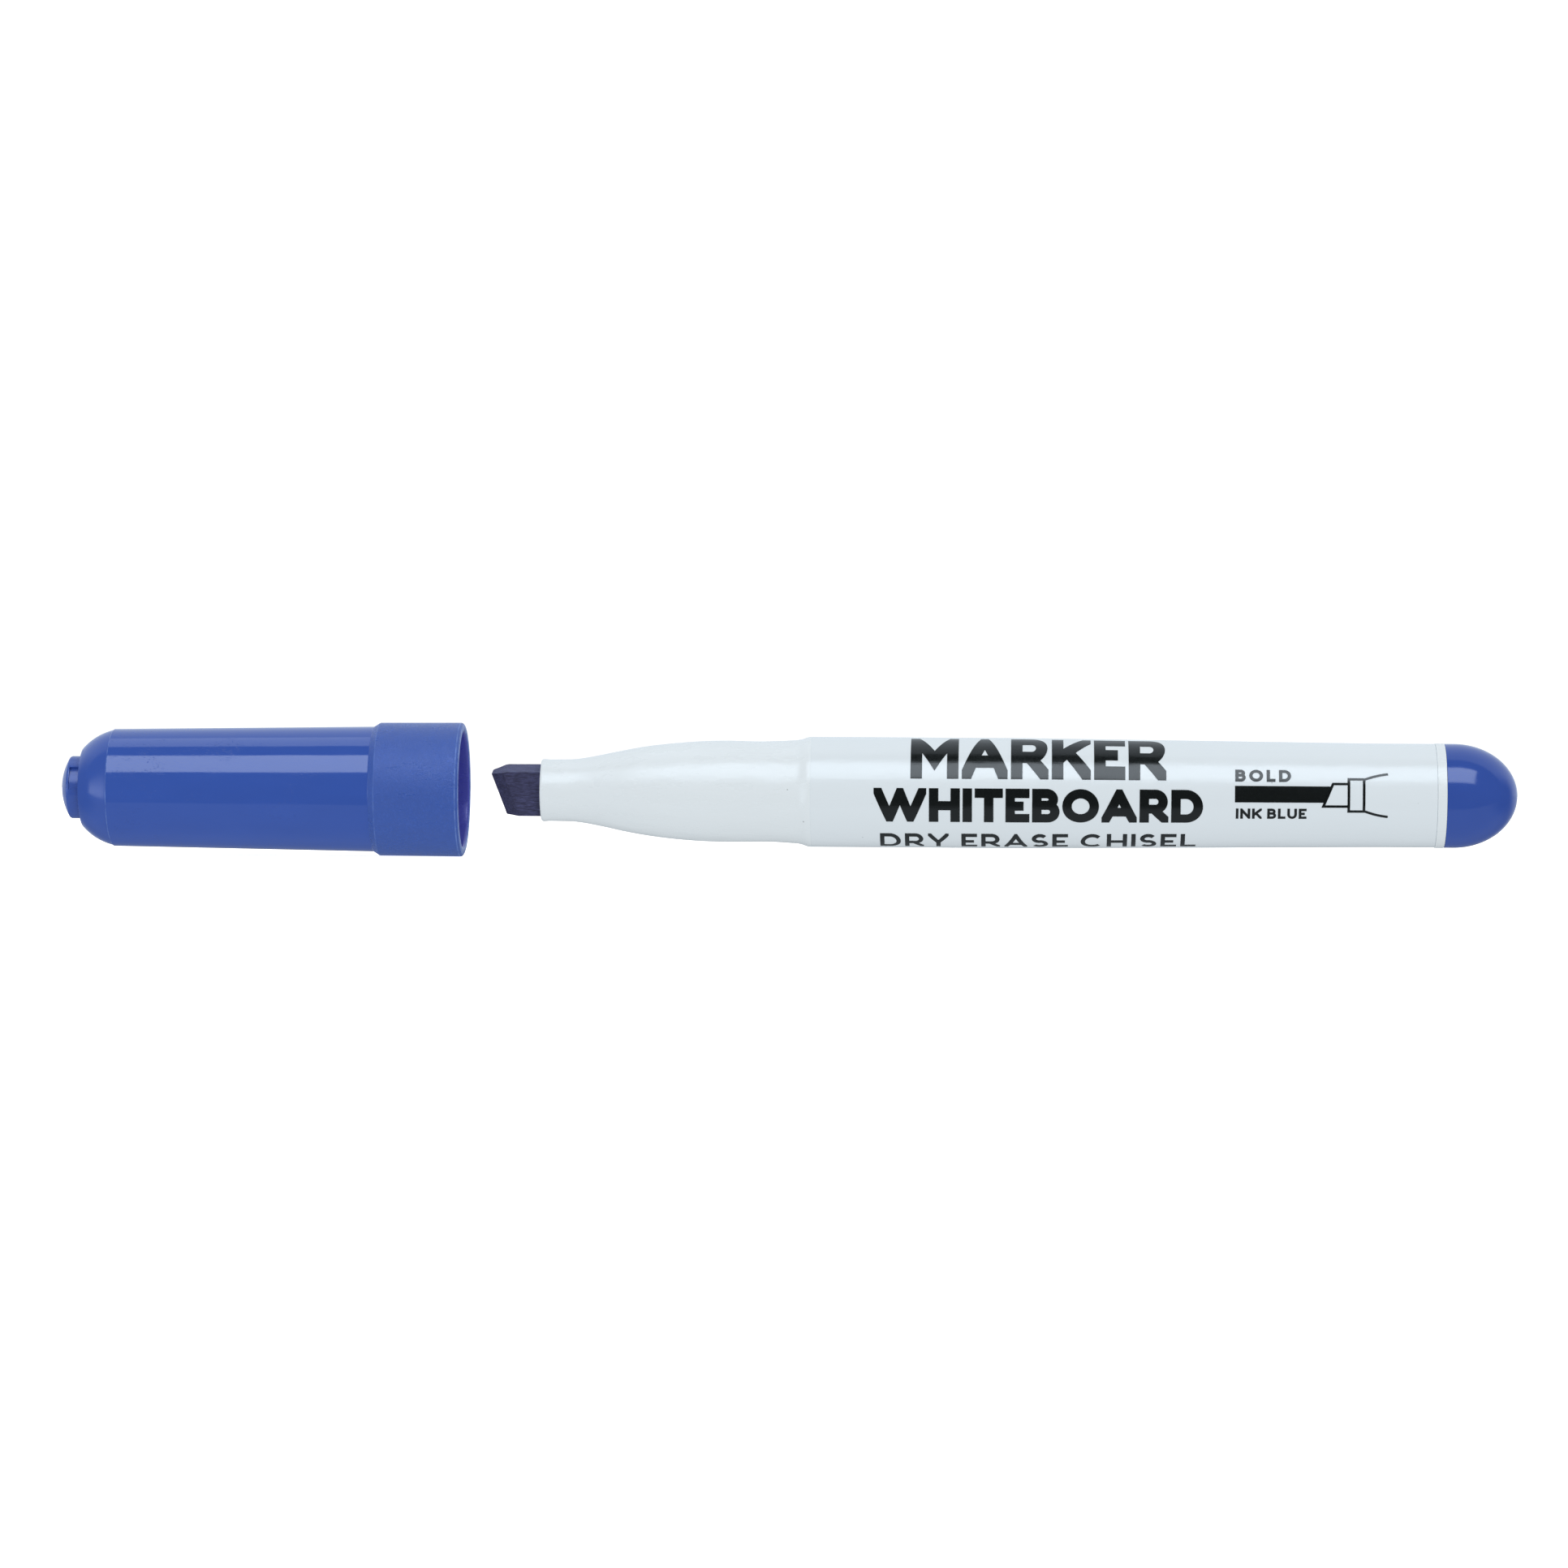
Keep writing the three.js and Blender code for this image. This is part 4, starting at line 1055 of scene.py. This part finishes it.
# what glossy surfaces mirror: a front softbox, an overhead panel and strip, a backdrop behind,
# a pale table below and a narrow panel at the left
FRONT_STRENGTH, LEFT_STRENGTH, FILL_STRENGTH = 4.15, 2.2, 0.08
front_box = g.times(g.window(lift, 30.0, 65.6, soft=0.7), g.window(side, -24.0, 30.0, soft=1.5))
overhead = g.times(g.ramp(lift, 86.0, 87.6), g.ramp(lift, 90.0, 125.0, 0.68, 0.85))
overhead_strip = g.times(g.window(lift, 86.8, 112.0, soft=0.8),
                         g.times(g.window(side, -14.5, -6.5, soft=1.5), 0.9))
table = g.times(g.ramp(lift, -31.0, -29.0, 1.0, 0.0), g.ramp(lift, -140.0, -105.0, 0.2, 0.37))
backdrop = g.times(g.ramp(lift, -179.0, -145.0, 0.5, 0.0), g.ramp(g.math("ABSOLUTE", side), 6.0, 20.0))
not_at_ends = g.window(side, -58.0, 62.0, soft=14.0)
left_panel = g.times(g.window(side, -72.0, -38.0, soft=1.5),
                     g.times(g.ramp(lift, -27.0, -25.0), g.ramp(lift, -15.0, 45.0, 1.0, 0.0)))
mirrored = g.total(g.times(front_box, FRONT_STRENGTH), g.times(overhead, not_at_ends), overhead_strip,
                   g.times(g.total(table, backdrop), not_at_ends),
                   g.times(left_panel, LEFT_STRENGTH), FILL_STRENGTH)

# what matt surfaces collect: a soft white dome, a little brighter from the front and above
KEY_LIFT, KEY_STRENGTH, DOME_STRENGTH = math.radians(46), 0.235, 0.77
towards_key = g.total(g.times(y, -math.cos(KEY_LIFT)), g.times(z, math.sin(KEY_LIFT)))
dome = g.total(g.math("MULTIPLY_ADD", towards_key, KEY_STRENGTH, DOME_STRENGTH),
               g.ramp(z, -0.95, -0.5, 0.2, 0.0))


def choose(which, yes, no):
    node = g.add("ShaderNodeMixShader")
    for socket, value in zip(node.inputs, (which, no, yes)):
        g.put(socket, value)
    return node.outputs[0]


def glow(strength, color=(1, 1, 1, 1)):
    return g.add("ShaderNodeBackground", Color=color, Strength=strength).outputs[0]


COOL = (0.83, 0.93, 1.03, 1)
BACKDROP_GLOW = 1.1
paths = g.add("ShaderNodeLightPath")
light = choose(paths.outputs["Is Glossy Ray"], glow(mirrored, COOL), glow(dome))
light = choose(paths.outputs["Is Camera Ray"], glow(BACKDROP_GLOW), light)
world_out = g.add("ShaderNodeOutputWorld")
g.tree.links.new(light, world_out.inputs[0])
world.cycles.sampling_method = "NONE"
bpy.context.scene.view_settings.view_transform = "Standard"

# ---- camera ----
TARGET = Vector((-0.24, 0.0, AXIS_Z + 0.99)) * MM
CAMERA_DISTANCE, CAMERA_RIGHT = 0.7, 0.0308  # metres
CAMERA_ROLL = math.radians(0.36)
camera_data = bpy.data.cameras.new("camera")
camera_data.sensor_width = 36.0
camera_data.lens = 124.3
camera_data.clip_start, camera_data.clip_end = 0.01, 20.0
camera = scene_object("camera", camera_data)
camera.location = TARGET + Vector((CAMERA_RIGHT, -CAMERA_DISTANCE, 0.0))
look = (TARGET - camera.location).to_track_quat("-Z", "Y").to_matrix()
camera.rotation_euler = (look @ Matrix.Rotation(CAMERA_ROLL, 3, "Z")).to_euler()
bpy.context.scene.camera = camera
